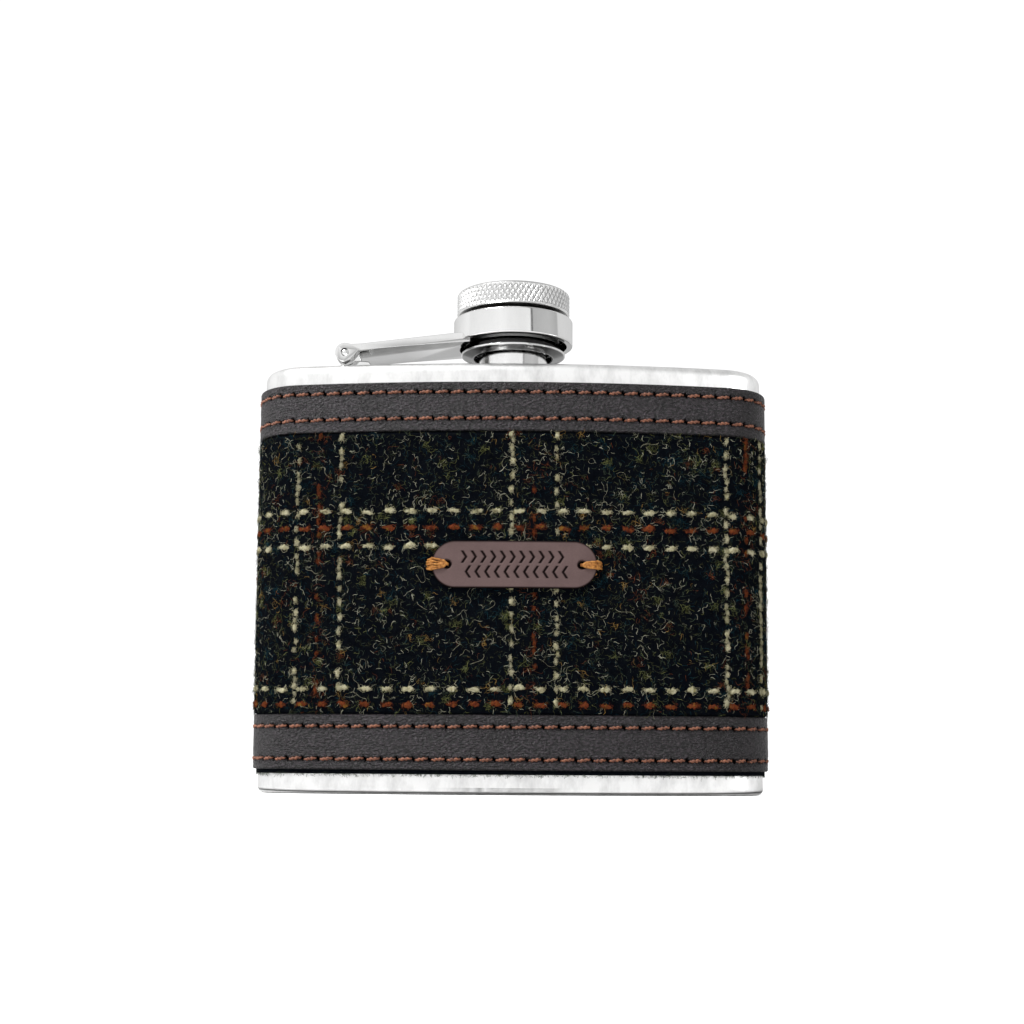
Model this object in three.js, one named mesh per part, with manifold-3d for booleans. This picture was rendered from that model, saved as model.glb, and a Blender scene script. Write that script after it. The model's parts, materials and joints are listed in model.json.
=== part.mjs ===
// A curved hip flask with a tweed and leather wrap and a captive screw cap.
// Millimetres, +Z up, front towards -Y, the middle of the base's flat face at the origin.

import * as THREE from 'three';
import { mergeVertices } from 'three/addons/utils/BufferGeometryUtils.js';
import Module from 'manifold-3d';

const wasm = await Module();
wasm.setup();

// The plan outline, over the leather: a gently bulging front, a slightly hollow back and round ends.
const HALF_WIDTH = 47;
const CORNER_R = 10;
const CORNER_Y = 3.3;
const FRONT_Y = -10.2;
const BACK_Y = 11.3;
const FRONT_STEPS = 12;
const CORNER_STEPS = 12;
const BACK_STEPS = 4;

// The layers from the outside in, each a gap away from the next.
const LAYER_GAP = 0.05;
const LEATHER_T = 0.55;
const CLOTH_T = 0.3;
const CLOTH_SWELL = 0.5;
const WALL_T = 0.5;
const CLOTH_INSET = LEATHER_T + LAYER_GAP;
const WALL_INSET = CLOTH_INSET + CLOTH_T + LAYER_GAP;
const SEAM_GAP = 0.3;

// Heights up the flask.
const TOP_Z = 77.3;
const PLATE_T = 0.6;
const TOP_EDGE_R = 1.8;
const BASE_EDGE_R = 1.2;
const EDGE_STEPS = 4;
const RIM_Z = 0.1;
const WALL_LOW = BASE_EDGE_R + RIM_Z + LAYER_GAP;
const WALL_HIGH = TOP_Z - TOP_EDGE_R - RIM_Z - LAYER_GAP;
const CLOTH_LOW = 3.6;
const CLOTH_HIGH = 72.9;
const TOP_BAND = { low: 64.4, high: 73.4 };
const BOTTOM_BAND = { low: 4.3, high: 14.05 };
const STITCH_ROWS = { top_upper: 71.55, top_lower: 66.75, bottom_upper: 11.9, bottom_lower: 6.2 };
const STITCH_W = 0.6;
const STITCH_T = 0.3;

// The neck, and the cap over it.
const ROUND_STEPS = 36;
const NECK_R = 6.3;
const NECK_THREAD_R = 6;
const NECK_BORE_R = 5;
const NECK_TOP = 86.5;
const NECK_SHOULDER = 80.2;
const NECK_THREAD_LOW = 80.6;
const NECK_CHAMFER = 0.4;
const NECK_FOOT_W = 0.6;
const NECK_FOOT_T = 1;
const CAP_R = 10.45;
const CAP_LOW = 87.9;
const CAP_HIGH = 92;
const SHANK_R = 8;
const CAP_BORE_R = 7.1;
const SEAT_Z = 87.5;
const SPIGOT_R = 7.75;
const SPIGOT_Z = 81.25;
const FLANGE_R = 9.65;
const FLANGE_TOP = 82.2;
const FLANGE_TOP_R = 8.7;
const FLANGE_LIP_TOP = 81.25;
const FLANGE_LIP = 80.9;
const FLANGE_LOW = 79.95;
const FLANGE_BORE_R = 7.3;
const FLANGE_EDGE = 0.1;
const SEAL_R = 6.9;
const SEAL_T = 0.8;

// The collar that holds the cap, and the arm that carries the collar.
const COLLAR_R = 11;
const COLLAR_LOW = 82.4;
const COLLAR_HIGH = 87;
const COLLAR_WEB_T = 1;
const COLLAR_RECESS_R = 9.9;
const COLLAR_HOLE_R = 8.4;
const ARM_HALF_W = 6;

// The hinge, whose pin lies along Y.
const HINGE = { x: -30.6, z: 79.65 };
const KNUCKLE_R = 1.75;
const KNUCKLE_HALF_W = 2.6;
const EAR_INNER_Y = 2.9;
const PIN_R = 0.62;
const PIN_FIT = 0.06;
const PIN_RUN = 0.16;
const HINGE_STEPS = 20;

// Side outlines, as [X from the hinge's axis, Z]. The foot's heights are above the top plate.
const FOOT_SIDE = [
  [-1.7, LAYER_GAP],
  [5.2, LAYER_GAP],
  [4.1, 1.5],
  [1.2, 1.7],
  [-0.4, 1.7],
];
const BAR_SIDE = [
  [2.2, 79.95],
  [10.6, 80.8],
  [21.3, 81.65],
  [23.1, 81.8],
  [23.1, 83.8],
  [21.6, 83.6],
  [10.6, 82.25],
  [2.2, 81.2],
];
const EAR_SIDE = [
  [0, 79.2],
  [3, 79.9],
  [3, 81.24],
  [0.4, 81.3],
];

// The leather tag on the front.
const TAG_X = 0.5;
const TAG_Z = 40.4;
const TAG_L = 29.2;
const TAG_H = 8.4;
const TAG_T = 1;
const TAG_HOLE_X = 11.85;
const TAG_HOLE_R = 0.7;
const TAG_STEPS = 24;
const TAG_END_GAP = 0.05;
const TAG_THREAD_R = 0.4;
const TAG_THREAD_STEPS = 14;
const TAG_THREAD_PAST = 1.1;

const FRONT_ARC_R = bulgeRadius(CORNER_Y - FRONT_Y, 1);
const BACK_ARC_R = bulgeRadius(BACK_Y - CORNER_Y, -1);

// The radius of the long arc that runs into both corner circles and passes `reach` from their
// centre line. `side` is 1 for an arc that bulges outwards and -1 for one that is hollow.
function bulgeRadius(reach, side) {
  const half = HALF_WIDTH - CORNER_R;
  return (side * (half * half + reach * reach - CORNER_R * CORNER_R)) / (2 * (reach - CORNER_R));
}

// Points on an arc about (x, y), with both ends.
function arcPoints(x, y, radius, from, to, steps) {
  return Array.from({ length: steps + 1 }, (_, i) => {
    const angle = from + ((to - from) * i) / steps;
    return new THREE.Vector2(x + radius * Math.cos(angle), y + radius * Math.sin(angle));
  });
}

// The outline moved inwards by `inset`, anticlockwise from the middle of the back.
// With a seam, the two ends stay that far apart.
function outline(inset, seam = 0) {
  const cornerX = HALF_WIDTH - CORNER_R;
  const cornerR = CORNER_R - inset;
  const frontY = FRONT_Y + FRONT_ARC_R;
  const backY = BACK_Y + BACK_ARC_R;
  const backR = BACK_ARC_R + inset;
  const frontHalf = Math.asin(cornerX / (FRONT_ARC_R - CORNER_R));
  const backHalf = Math.asin(cornerX / (BACK_ARC_R + CORNER_R));
  const seamHalf = Math.asin(seam / 2 / backR);
  const down = -Math.PI / 2;
  const backTurn = Math.PI / 2 - backHalf;
  const frontTurn = (Math.PI * 3) / 2 - frontHalf;
  const corner = (x, from, to) => arcPoints(x, CORNER_Y, cornerR, from, to, CORNER_STEPS);
  const back = (from, to) => arcPoints(0, backY, backR, down + from, down + to, BACK_STEPS);
  const left = corner(-cornerX, backTurn, frontTurn);
  const frontR = FRONT_ARC_R - inset;
  const front = arcPoints(0, frontY, frontR, down - frontHalf, down + frontHalf, FRONT_STEPS);
  const right = corner(cornerX, Math.PI - frontTurn, Math.PI - backTurn);
  const points = [
    ...back(-seamHalf, -backHalf),
    ...left.slice(1),
    ...front.slice(1),
    ...right.slice(1),
    ...back(backHalf, seamHalf).slice(1),
  ];
  return seam ? points : points.slice(0, -1);
}

// Triangles across one ring, in the ring's own order or reversed.
function capTriangles(flat, start, reversed) {
  const anticlockwise = THREE.ShapeUtils.area(flat) > 0;
  return THREE.ShapeUtils.triangulateShape(flat, []).flatMap(([a, b, c]) => {
    const face = anticlockwise === reversed ? [c, b, a] : [a, b, c];
    return face.map((corner) => corner + start);
  });
}

// A skin through rings of equal length. It joins up with itself, or `flatten` gives the plane
// coordinates in which the first and last ring are filled.
function loft(rings, flatten = null) {
  const count = rings[0].length;
  const index = [];
  const bands = flatten ? rings.length - 1 : rings.length;
  for (let i = 0; i < bands; i += 1) {
    const here = i * count;
    const there = ((i + 1) % rings.length) * count;
    for (let j = 0; j < count; j += 1) {
      const k = (j + 1) % count;
      index.push(here + j, there + j, there + k, here + j, there + k, here + k);
    }
  }
  if (flatten) {
    index.push(...capTriangles(rings[0].map(flatten), 0, false));
    index.push(...capTriangles(rings.at(-1).map(flatten), bands * count, true));
  }
  const geometry = new THREE.BufferGeometry().setFromPoints(rings.flat());
  geometry.setIndex(index);
  return solid(geometry);
}

// Keeps only merged positions, with the faces pointing outwards.
function solid(geometry) {
  geometry.deleteAttribute('normal');
  geometry.deleteAttribute('uv');
  const merged = mergeVertices(geometry, 1e-5);
  const position = merged.attributes.position;
  const corners = merged.index.array;
  const [a, b, c] = [new THREE.Vector3(), new THREE.Vector3(), new THREE.Vector3()];
  let volume = 0;
  for (let i = 0; i < corners.length; i += 3) {
    a.fromBufferAttribute(position, corners[i]);
    b.fromBufferAttribute(position, corners[i + 1]);
    c.fromBufferAttribute(position, corners[i + 2]);
    volume += a.dot(b.cross(c));
  }
  if (volume < 0) {
    merged.setIndex(Array.from(corners).reverse());
  }
  return merged;
}

function toManifold(geometry) {
  const vertProperties = new Float32Array(geometry.attributes.position.array);
  const triVerts = new Uint32Array(geometry.index.array);
  return new wasm.Manifold(new wasm.Mesh({ numProp: 3, vertProperties, triVerts }));
}

function fromManifold(body) {
  const mesh = body.getMesh();
  const geometry = new THREE.BufferGeometry();
  geometry.setAttribute('position', new THREE.BufferAttribute(new Float32Array(mesh.vertProperties), 3));
  geometry.setIndex(Array.from(mesh.triVerts));
  return geometry;
}

function cut(geometry, ...tools) {
  const left = tools.reduce((body, tool) => body.subtract(toManifold(tool)), toManifold(geometry));
  return fromManifold(left);
}

function join(...geometries) {
  return fromManifold(geometries.map(toManifold).reduce((body, next) => body.add(next)));
}

// A ring round the flask whose section is a closed list of [inset, z].
function wrapRing(section, seam = 0) {
  const sides = section.map(([inset, z]) =>
    outline(inset, seam).map((point) => new THREE.Vector3(point.x, point.y, z)),
  );
  const rings = sides[0].map((_, i) => sides.map((side) => side[i]));
  return loft(rings, seam ? (point) => new THREE.Vector2(point.y, point.z) : null);
}

// A dish that fills the outline, from a list of [inset, z] that starts and ends on a flat face.
function dish(section) {
  const rings = section.map(([inset, z]) =>
    outline(inset).map((point) => new THREE.Vector3(point.x, point.y, z)),
  );
  return loft(rings, (point) => new THREE.Vector2(point.x, point.y));
}

// A body turned about an upright axis, from a closed list of [radius, z].
function turned(section, steps = ROUND_STEPS) {
  const profile = section.map(([radius, z]) => new THREE.Vector2(radius, z));
  if (section[0][0] > 0) {
    profile.push(profile[0].clone());
  }
  return solid(new THREE.LatheGeometry(profile, steps).rotateX(Math.PI / 2));
}

// A bar along Y from `low` to `high`, from an outline in X and Z.
function barAlongY(points, low, high) {
  const shape = new THREE.Shape(points.map(([x, z]) => new THREE.Vector2(x, z)));
  const geometry = new THREE.ExtrudeGeometry(shape, { depth: high - low, bevelEnabled: false });
  return solid(geometry.rotateX(Math.PI / 2).translate(0, high, 0));
}

// A rod along Y about the hinge's axis.
function hingeRod(radius, low, high) {
  const rod = new THREE.CylinderGeometry(radius, radius, high - low, HINGE_STEPS);
  return solid(rod.translate(HINGE.x, (low + high) / 2, 0).translate(0, 0, HINGE.z));
}

// Pressed dishes with a rounded edge: the same curve serves the base, upside down.
function pressedPlate(flatZ, rimZ, edgeR) {
  const up = Math.sign(flatZ - rimZ);
  const corner = (radius, inset) =>
    Array.from({ length: EDGE_STEPS + 1 }, (_, i) => {
      const angle = ((Math.PI / 2) * i) / EDGE_STEPS;
      const inwards = inset + edgeR - radius * Math.cos(angle);
      return [inwards, flatZ - up * (edgeR - radius * Math.sin(angle))];
    });
  const outer = corner(edgeR, WALL_INSET);
  const inner = corner(edgeR - PLATE_T, WALL_INSET);
  return dish([
    ...inner.reverse(),
    [WALL_INSET + PLATE_T, rimZ],
    [WALL_INSET, rimZ],
    ...outer,
  ]);
}

function flaskWall() {
  return wrapRing([
    [WALL_INSET + WALL_T, WALL_LOW],
    [WALL_INSET, WALL_LOW],
    [WALL_INSET, WALL_HIGH],
    [WALL_INSET + WALL_T, WALL_HIGH],
  ]);
}

function topPlate() {
  const plate = pressedPlate(TOP_Z, WALL_HIGH + LAYER_GAP, TOP_EDGE_R);
  const hole = turned([
    [0, TOP_Z - 2],
    [NECK_R + LAYER_GAP, TOP_Z - 2],
    [NECK_R + LAYER_GAP, TOP_Z + 1],
    [0, TOP_Z + 1],
  ]);
  return cut(plate, hole);
}

function neck() {
  const footTop = TOP_Z - PLATE_T - LAYER_GAP;
  return turned([
    [NECK_BORE_R, footTop - NECK_FOOT_T],
    [NECK_R + NECK_FOOT_W, footTop - NECK_FOOT_T],
    [NECK_R + NECK_FOOT_W, footTop],
    [NECK_R, footTop],
    [NECK_R, NECK_SHOULDER],
    [NECK_THREAD_R, NECK_THREAD_LOW],
    [NECK_THREAD_R, NECK_TOP - NECK_CHAMFER],
    [NECK_THREAD_R - NECK_CHAMFER, NECK_TOP],
    [NECK_BORE_R, NECK_TOP],
  ]);
}

// A bar along Y whose side outline is measured from the hinge's axis and a base height.
function hingeBar(side, base, low, high) {
  return barAlongY(
    side.map(([x, z]) => [HINGE.x + x, base + z]),
    low,
    high,
  );
}

function hingeBracket() {
  const foot = hingeBar(FOOT_SIDE, TOP_Z, -KNUCKLE_HALF_W, KNUCKLE_HALF_W);
  const knuckle = hingeRod(KNUCKLE_R, -KNUCKLE_HALF_W, KNUCKLE_HALF_W);
  return cut(join(foot, knuckle), hingeRod(PIN_R + PIN_FIT, -ARM_HALF_W, ARM_HALF_W));
}

function hingePin() {
  return hingeRod(PIN_R, -ARM_HALF_W, ARM_HALF_W);
}

// The collar, its arm and the arm's two hinge ears are one casting.
function collarArm() {
  const webLow = COLLAR_HIGH - COLLAR_WEB_T;
  const collar = turned([
    [COLLAR_RECESS_R, COLLAR_LOW],
    [COLLAR_R, COLLAR_LOW],
    [COLLAR_R, COLLAR_HIGH],
    [COLLAR_HOLE_R, COLLAR_HIGH],
    [COLLAR_HOLE_R, webLow],
    [COLLAR_RECESS_R, webLow],
  ]);
  const recess = turned([
    [0, TOP_Z],
    [COLLAR_RECESS_R, TOP_Z],
    [COLLAR_RECESS_R, webLow],
    [0, webLow],
  ]);
  const bar = cut(hingeBar(BAR_SIDE, 0, -ARM_HALF_W, ARM_HALF_W), recess);
  const ears = [
    [-ARM_HALF_W, -EAR_INNER_Y],
    [EAR_INNER_Y, ARM_HALF_W],
  ].map(([low, high]) => join(hingeRod(KNUCKLE_R, low, high), hingeBar(EAR_SIDE, 0, low, high)));
  const pinHole = hingeRod(PIN_R + PIN_RUN, -ARM_HALF_W - 1, ARM_HALF_W + 1);
  return cut(join(collar, bar, ...ears), pinHole);
}

function knurledCap() {
  return turned([
    [0, SEAT_Z],
    [CAP_BORE_R, SEAT_Z],
    [CAP_BORE_R, SPIGOT_Z],
    [SPIGOT_R, SPIGOT_Z],
    [SPIGOT_R, FLANGE_TOP + LAYER_GAP],
    [SHANK_R, FLANGE_TOP + LAYER_GAP],
    [SHANK_R, CAP_LOW],
    [CAP_R - 0.3, CAP_LOW],
    [CAP_R, CAP_LOW + 0.3],
    [CAP_R, CAP_HIGH - 0.4],
    [CAP_R - 0.4, CAP_HIGH],
    [0, CAP_HIGH],
  ]);
}

function capFlange() {
  return turned([
    [SPIGOT_R + LAYER_GAP, FLANGE_TOP],
    [FLANGE_TOP_R, FLANGE_TOP],
    [FLANGE_TOP_R, FLANGE_LIP_TOP + FLANGE_EDGE],
    [FLANGE_R, FLANGE_LIP_TOP],
    [FLANGE_R, FLANGE_LIP + FLANGE_EDGE],
    [FLANGE_R - FLANGE_EDGE, FLANGE_LIP],
    [FLANGE_BORE_R + FLANGE_EDGE, FLANGE_LOW],
    [FLANGE_BORE_R, FLANGE_LOW + FLANGE_EDGE],
    [FLANGE_BORE_R, SPIGOT_Z - LAYER_GAP],
    [SPIGOT_R + LAYER_GAP, SPIGOT_Z - LAYER_GAP],
  ]);
}

function capSeal() {
  const low = SEAT_Z - LAYER_GAP - SEAL_T;
  return turned([
    [0, low],
    [SEAL_R, low],
    [SEAL_R, low + SEAL_T],
    [0, low + SEAL_T],
  ]);
}

// The cloth is pressed thin under each band and swells out between them.
function tweedWrap() {
  const inner = CLOTH_INSET + CLOTH_T;
  const swollen = CLOTH_INSET - CLOTH_SWELL;
  return wrapRing(
    [
      [inner, CLOTH_LOW],
      [CLOTH_INSET, CLOTH_LOW],
      [CLOTH_INSET, BOTTOM_BAND.high + 0.1],
      [swollen, BOTTOM_BAND.high + 0.7],
      [swollen, TOP_BAND.low - 0.7],
      [CLOTH_INSET, TOP_BAND.low - 0.1],
      [CLOTH_INSET, CLOTH_HIGH],
      [inner, CLOTH_HIGH],
    ],
    SEAM_GAP,
  );
}

function leatherBand({ low, high }) {
  return wrapRing(
    [
      [LEATHER_T, low],
      [0, low],
      [0, high],
      [LEATHER_T, high],
    ],
    SEAM_GAP,
  );
}

function stitchRow(z) {
  const inner = -LAYER_GAP / 2;
  return wrapRing(
    [
      [inner, z - STITCH_W / 2],
      [inner - STITCH_T, z - STITCH_W / 4],
      [inner - STITCH_T, z + STITCH_W / 4],
      [inner, z + STITCH_W / 2],
    ],
    SEAM_GAP,
  );
}

// A point in front of the flask: `out` is the distance outwards from the leather's outer face.
function onFront(x, z, out) {
  const centreY = FRONT_Y + FRONT_ARC_R;
  const angle = Math.asin(x / FRONT_ARC_R);
  const radius = FRONT_ARC_R + out;
  return new THREE.Vector3(radius * Math.sin(angle), centreY - radius * Math.cos(angle), z);
}

const TAG_BACK = CLOTH_SWELL - CLOTH_INSET + LAYER_GAP;

// A long tag with round ends, bent to the front, with a thread hole near each end.
function leatherTag() {
  const endR = TAG_H / 2;
  const straight = TAG_L / 2 - endR;
  const rings = Array.from({ length: TAG_STEPS + 1 }, (_, i) => {
    const along = -Math.cos((Math.PI * i) / TAG_STEPS) * (TAG_L / 2 - TAG_END_GAP);
    const past = Math.max(0, Math.abs(along) - straight);
    const half = Math.sqrt(endR * endR - past * past);
    return [
      onFront(TAG_X + along, TAG_Z - half, TAG_BACK),
      onFront(TAG_X + along, TAG_Z + half, TAG_BACK),
      onFront(TAG_X + along, TAG_Z + half, TAG_BACK + TAG_T),
      onFront(TAG_X + along, TAG_Z - half, TAG_BACK + TAG_T),
    ];
  });
  const tag = loft(rings, (point) => new THREE.Vector2(point.y, point.z));
  return cut(tag, tagHole(-1), tagHole(1));
}

function tagHole(side) {
  const hole = new THREE.CylinderGeometry(TAG_HOLE_R, TAG_HOLE_R, 4, 12);
  return solid(hole.translate(TAG_X + side * TAG_HOLE_X, FRONT_Y, 0).translate(0, 0, TAG_Z));
}

// Thread that comes up through a tag hole and goes over the tag's end into the cloth.
function tagThread(side) {
  const face = TAG_BACK + TAG_T;
  const lift = face + TAG_THREAD_R + LAYER_GAP;
  const low = TAG_BACK + TAG_THREAD_R;
  const tip = TAG_L / 2 + TAG_THREAD_PAST;
  const route = [
    [TAG_HOLE_X, low],
    [TAG_HOLE_X, face - 0.1],
    [TAG_HOLE_X + 0.35, lift],
    [tip - 0.9, lift],
    [tip - 0.3, face - 0.25],
    [tip, low],
  ];
  const path = new THREE.CurvePath();
  const points = route.map(([along, out]) => onFront(TAG_X + side * along, TAG_Z, out));
  for (let i = 1; i < points.length; i += 1) {
    path.add(new THREE.LineCurve3(points[i - 1], points[i]));
  }
  const spaced = path.getSpacedPoints(TAG_THREAD_STEPS);
  const extrudePath = new THREE.CatmullRomCurve3(spaced, false, 'chordal');
  const circle = new THREE.Shape(arcPoints(0, 0, TAG_THREAD_R, 0, Math.PI * 2, 8).slice(1));
  const options = { steps: TAG_THREAD_STEPS, extrudePath, bevelEnabled: false };
  return solid(new THREE.ExtrudeGeometry(circle, options));
}

const FINISHES = {
  steel: { color: 0xd9dadb, roughness: 0.2, metalness: 1 },
  brushed: { color: 0xcfd0d1, roughness: 0.32, metalness: 1 },
  frosted: { color: 0xd6d6d4, roughness: 0.38, metalness: 1 },
  cloth: { color: 0x171d20, roughness: 0.95, metalness: 0 },
  leather: { color: 0x3a3335, roughness: 0.5, metalness: 0 },
  tag: { color: 0x6b5050, roughness: 0.55, metalness: 0 },
  thread: { color: 0x96512f, roughness: 0.7, metalness: 0 },
  tag_thread: { color: 0xc47c38, roughness: 0.7, metalness: 0 },
  seal: { color: 0xe4e1d8, roughness: 0.5, metalness: 0 },
};

const flask = new THREE.Group();

function addPart(name, geometry, finish) {
  const mesh = new THREE.Mesh(geometry, new THREE.MeshStandardMaterial(FINISHES[finish]));
  mesh.name = name;
  flask.add(mesh);
}

addPart('flask_wall', flaskWall(), 'brushed');
addPart('top_plate', topPlate(), 'brushed');
addPart('base_plate', pressedPlate(0, WALL_LOW - LAYER_GAP, BASE_EDGE_R), 'brushed');
addPart('neck', neck(), 'steel');
addPart('hinge_bracket', hingeBracket(), 'steel');
addPart('hinge_pin', hingePin(), 'steel');
addPart('collar_arm', collarArm(), 'steel');
addPart('knurled_cap', knurledCap(), 'frosted');
addPart('cap_flange', capFlange(), 'steel');
addPart('cap_seal', capSeal(), 'seal');
addPart('tweed_wrap', tweedWrap(), 'cloth');
addPart('leather_band_top', leatherBand(TOP_BAND), 'leather');
addPart('leather_band_bottom', leatherBand(BOTTOM_BAND), 'leather');
for (const [row, z] of Object.entries(STITCH_ROWS)) {
  addPart(`stitch_row_${row}`, stitchRow(z), 'thread');
}
addPart('leather_tag', leatherTag(), 'tag');
addPart('tag_thread_left', tagThread(-1), 'tag_thread');
addPart('tag_thread_right', tagThread(1), 'tag_thread');

export default flask;
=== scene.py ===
import json
import math

import bpy
import numpy as np
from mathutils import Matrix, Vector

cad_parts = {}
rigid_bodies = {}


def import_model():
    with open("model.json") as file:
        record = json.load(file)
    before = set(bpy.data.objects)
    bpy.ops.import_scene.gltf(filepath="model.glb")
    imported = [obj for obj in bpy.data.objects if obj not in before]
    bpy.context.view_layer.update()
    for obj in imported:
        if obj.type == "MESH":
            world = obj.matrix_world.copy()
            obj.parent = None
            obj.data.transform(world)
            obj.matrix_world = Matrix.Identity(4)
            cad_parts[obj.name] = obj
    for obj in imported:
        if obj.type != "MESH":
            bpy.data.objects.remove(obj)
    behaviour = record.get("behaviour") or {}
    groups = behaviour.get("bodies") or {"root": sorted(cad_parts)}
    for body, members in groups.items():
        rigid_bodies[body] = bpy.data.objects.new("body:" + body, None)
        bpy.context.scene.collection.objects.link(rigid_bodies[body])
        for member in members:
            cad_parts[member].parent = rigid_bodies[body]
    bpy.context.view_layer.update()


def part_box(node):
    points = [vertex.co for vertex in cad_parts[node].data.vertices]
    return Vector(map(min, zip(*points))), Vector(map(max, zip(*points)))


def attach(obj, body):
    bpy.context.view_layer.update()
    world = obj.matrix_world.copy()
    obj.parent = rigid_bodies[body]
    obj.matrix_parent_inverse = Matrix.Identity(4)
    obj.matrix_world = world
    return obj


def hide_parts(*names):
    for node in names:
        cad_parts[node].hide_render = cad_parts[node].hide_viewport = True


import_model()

# Lengths in this script are in millimetres. Meshes are written in metres.
MM = 0.001
TURN = 2 * math.pi
SEED = 20261118


def span(node):
    """The lowest and highest corner of a CAD node, in millimetres."""
    low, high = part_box(node)
    return np.array(low) / MM, np.array(high) / MM


# ---------------------------------------------------------------- node trees

# How deep the relief that only the materials carry is.
BRUSH_DEPTH = 0.0012
YARN_DEPTH = 0.02
LEATHER_SHINE = 0.26
WOOL_SPREAD = 0.75


class Nodes:
    """Short calls for building a node tree."""

    def __init__(self, tree):
        self.tree = tree

    def put(self, socket, value):
        if isinstance(value, bpy.types.NodeSocket):
            self.tree.links.new(value, socket)
        else:
            socket.default_value = value

    def add(self, kind, settings=None, **inputs):
        node = self.tree.nodes.new(kind)
        for key, value in (settings or {}).items():
            setattr(node, key, value)
        for key, value in inputs.items():
            self.put(node.inputs[key.replace("_", " ")], value)
        return node

    def math(self, operation, a, b=0.0):
        node = self.add("ShaderNodeMath", {"operation": operation})
        self.put(node.inputs[0], a)
        self.put(node.inputs[1], b)
        return node.outputs[0]

    def mix(self, share, a, b, blend="MIX"):
        node = self.add("ShaderNodeMix", {"data_type": "RGBA", "blend_type": blend})
        self.put(node.inputs[0], share)
        self.put(node.inputs[6], a if isinstance(a, bpy.types.NodeSocket) else (*a, 1))
        self.put(node.inputs[7], b if isinstance(b, bpy.types.NodeSocket) else (*b, 1))
        return node.outputs[2]

    def ramp(self, share, stops):
        node = self.add("ShaderNodeValToRGB", Fac=share)
        elements = node.color_ramp.elements
        while len(elements) < len(stops):
            elements.new(1.0)
        for element, (place, colour) in zip(elements, stops):
            element.position = place
            element.color = (*colour, 1) if isinstance(colour, tuple) else (colour, colour, colour, 1)
        return node.outputs["Color"]

    def place(self, stretch=(1, 1, 1)):
        """The place on the object in millimetres, each axis multiplied by stretch."""
        source = self.add("ShaderNodeTexCoord")
        scaled = self.add("ShaderNodeVectorMath", {"operation": "MULTIPLY"})
        self.put(scaled.inputs[0], source.outputs["Object"])
        self.put(scaled.inputs[1], [c / MM for c in stretch])
        return scaled.outputs[0]

    def noise(self, place, per_mm, detail=2.0, rough=0.5):
        node = self.add("ShaderNodeTexNoise", Vector=place, Scale=per_mm, Detail=detail, Roughness=rough)
        return node.outputs["Fac"]

    def cells(self, place, per_mm):
        node = self.add("ShaderNodeTexVoronoi", {"feature": "SMOOTH_F1"}, Vector=place, Scale=per_mm)
        return node.outputs["Distance"]

    def tone(self):
        """The number each vertex carries for how dark it is painted: shade in hollows, gaps and holes, and
        dark edges and marks.
        """
        return self.add("ShaderNodeAttribute", {"attribute_name": "tone"}).outputs["Fac"]

    def look(self, shader, colour, normal):
        self.put(shader.inputs["Base Color"], colour)
        self.put(shader.inputs["Normal"], normal)

    def bump(self, height, depth, under=None):
        node = self.add("ShaderNodeBump", Height=height, Distance=depth * MM, Strength=1.0)
        if under is not None:
            self.put(node.inputs["Normal"], under)
        return node.outputs["Normal"]


def darker(colour, share):
    """A colour with a share of its brightness taken away."""
    return tuple(c * (1 - share) for c in colour)


def surface(name, roughness, metallic=0.0, specular=0.5):
    """A material with one Principled shader, and the tree to build on."""
    material = bpy.data.materials.new(name)
    material.use_nodes = True
    shader = material.node_tree.nodes["Principled BSDF"]
    shader.inputs["Roughness"].default_value = roughness
    shader.inputs["Metallic"].default_value = metallic
    shader.inputs["Specular IOR Level"].default_value = specular
    return material, Nodes(material.node_tree), shader


def steel(name, colour, roughness, grain, smudge, streak=(1, 1, 1), streak_share=0.04, tone=0.0, metal=1.0):
    """Brushed stainless steel with faint smudges. Tone is how far the attribute of that name darkens it, as
    painted shade and painted reflection.
    """
    material, tree, shader = surface(name, roughness, metallic=metal)
    cloud = tree.ramp(tree.noise(tree.place((1.0, 1.0, 0.5)), 0.3, 4.0, 0.7), [(0.42, 0.0), (0.72, 1.0)])
    finish = tree.mix(cloud, colour, darker(colour, smudge))
    if tone:
        finish = tree.mix(tree.tone(), finish, darker(colour, tone))
    brushed = tree.noise(tree.place(streak), grain, 3.0, 0.6)
    rough = tree.math("ADD", tree.math("MULTIPLY", brushed, streak_share * 2), roughness - streak_share)
    tree.put(shader.inputs["Roughness"], rough)
    tree.look(shader, finish, tree.bump(brushed, BRUSH_DEPTH))
    return material


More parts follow.
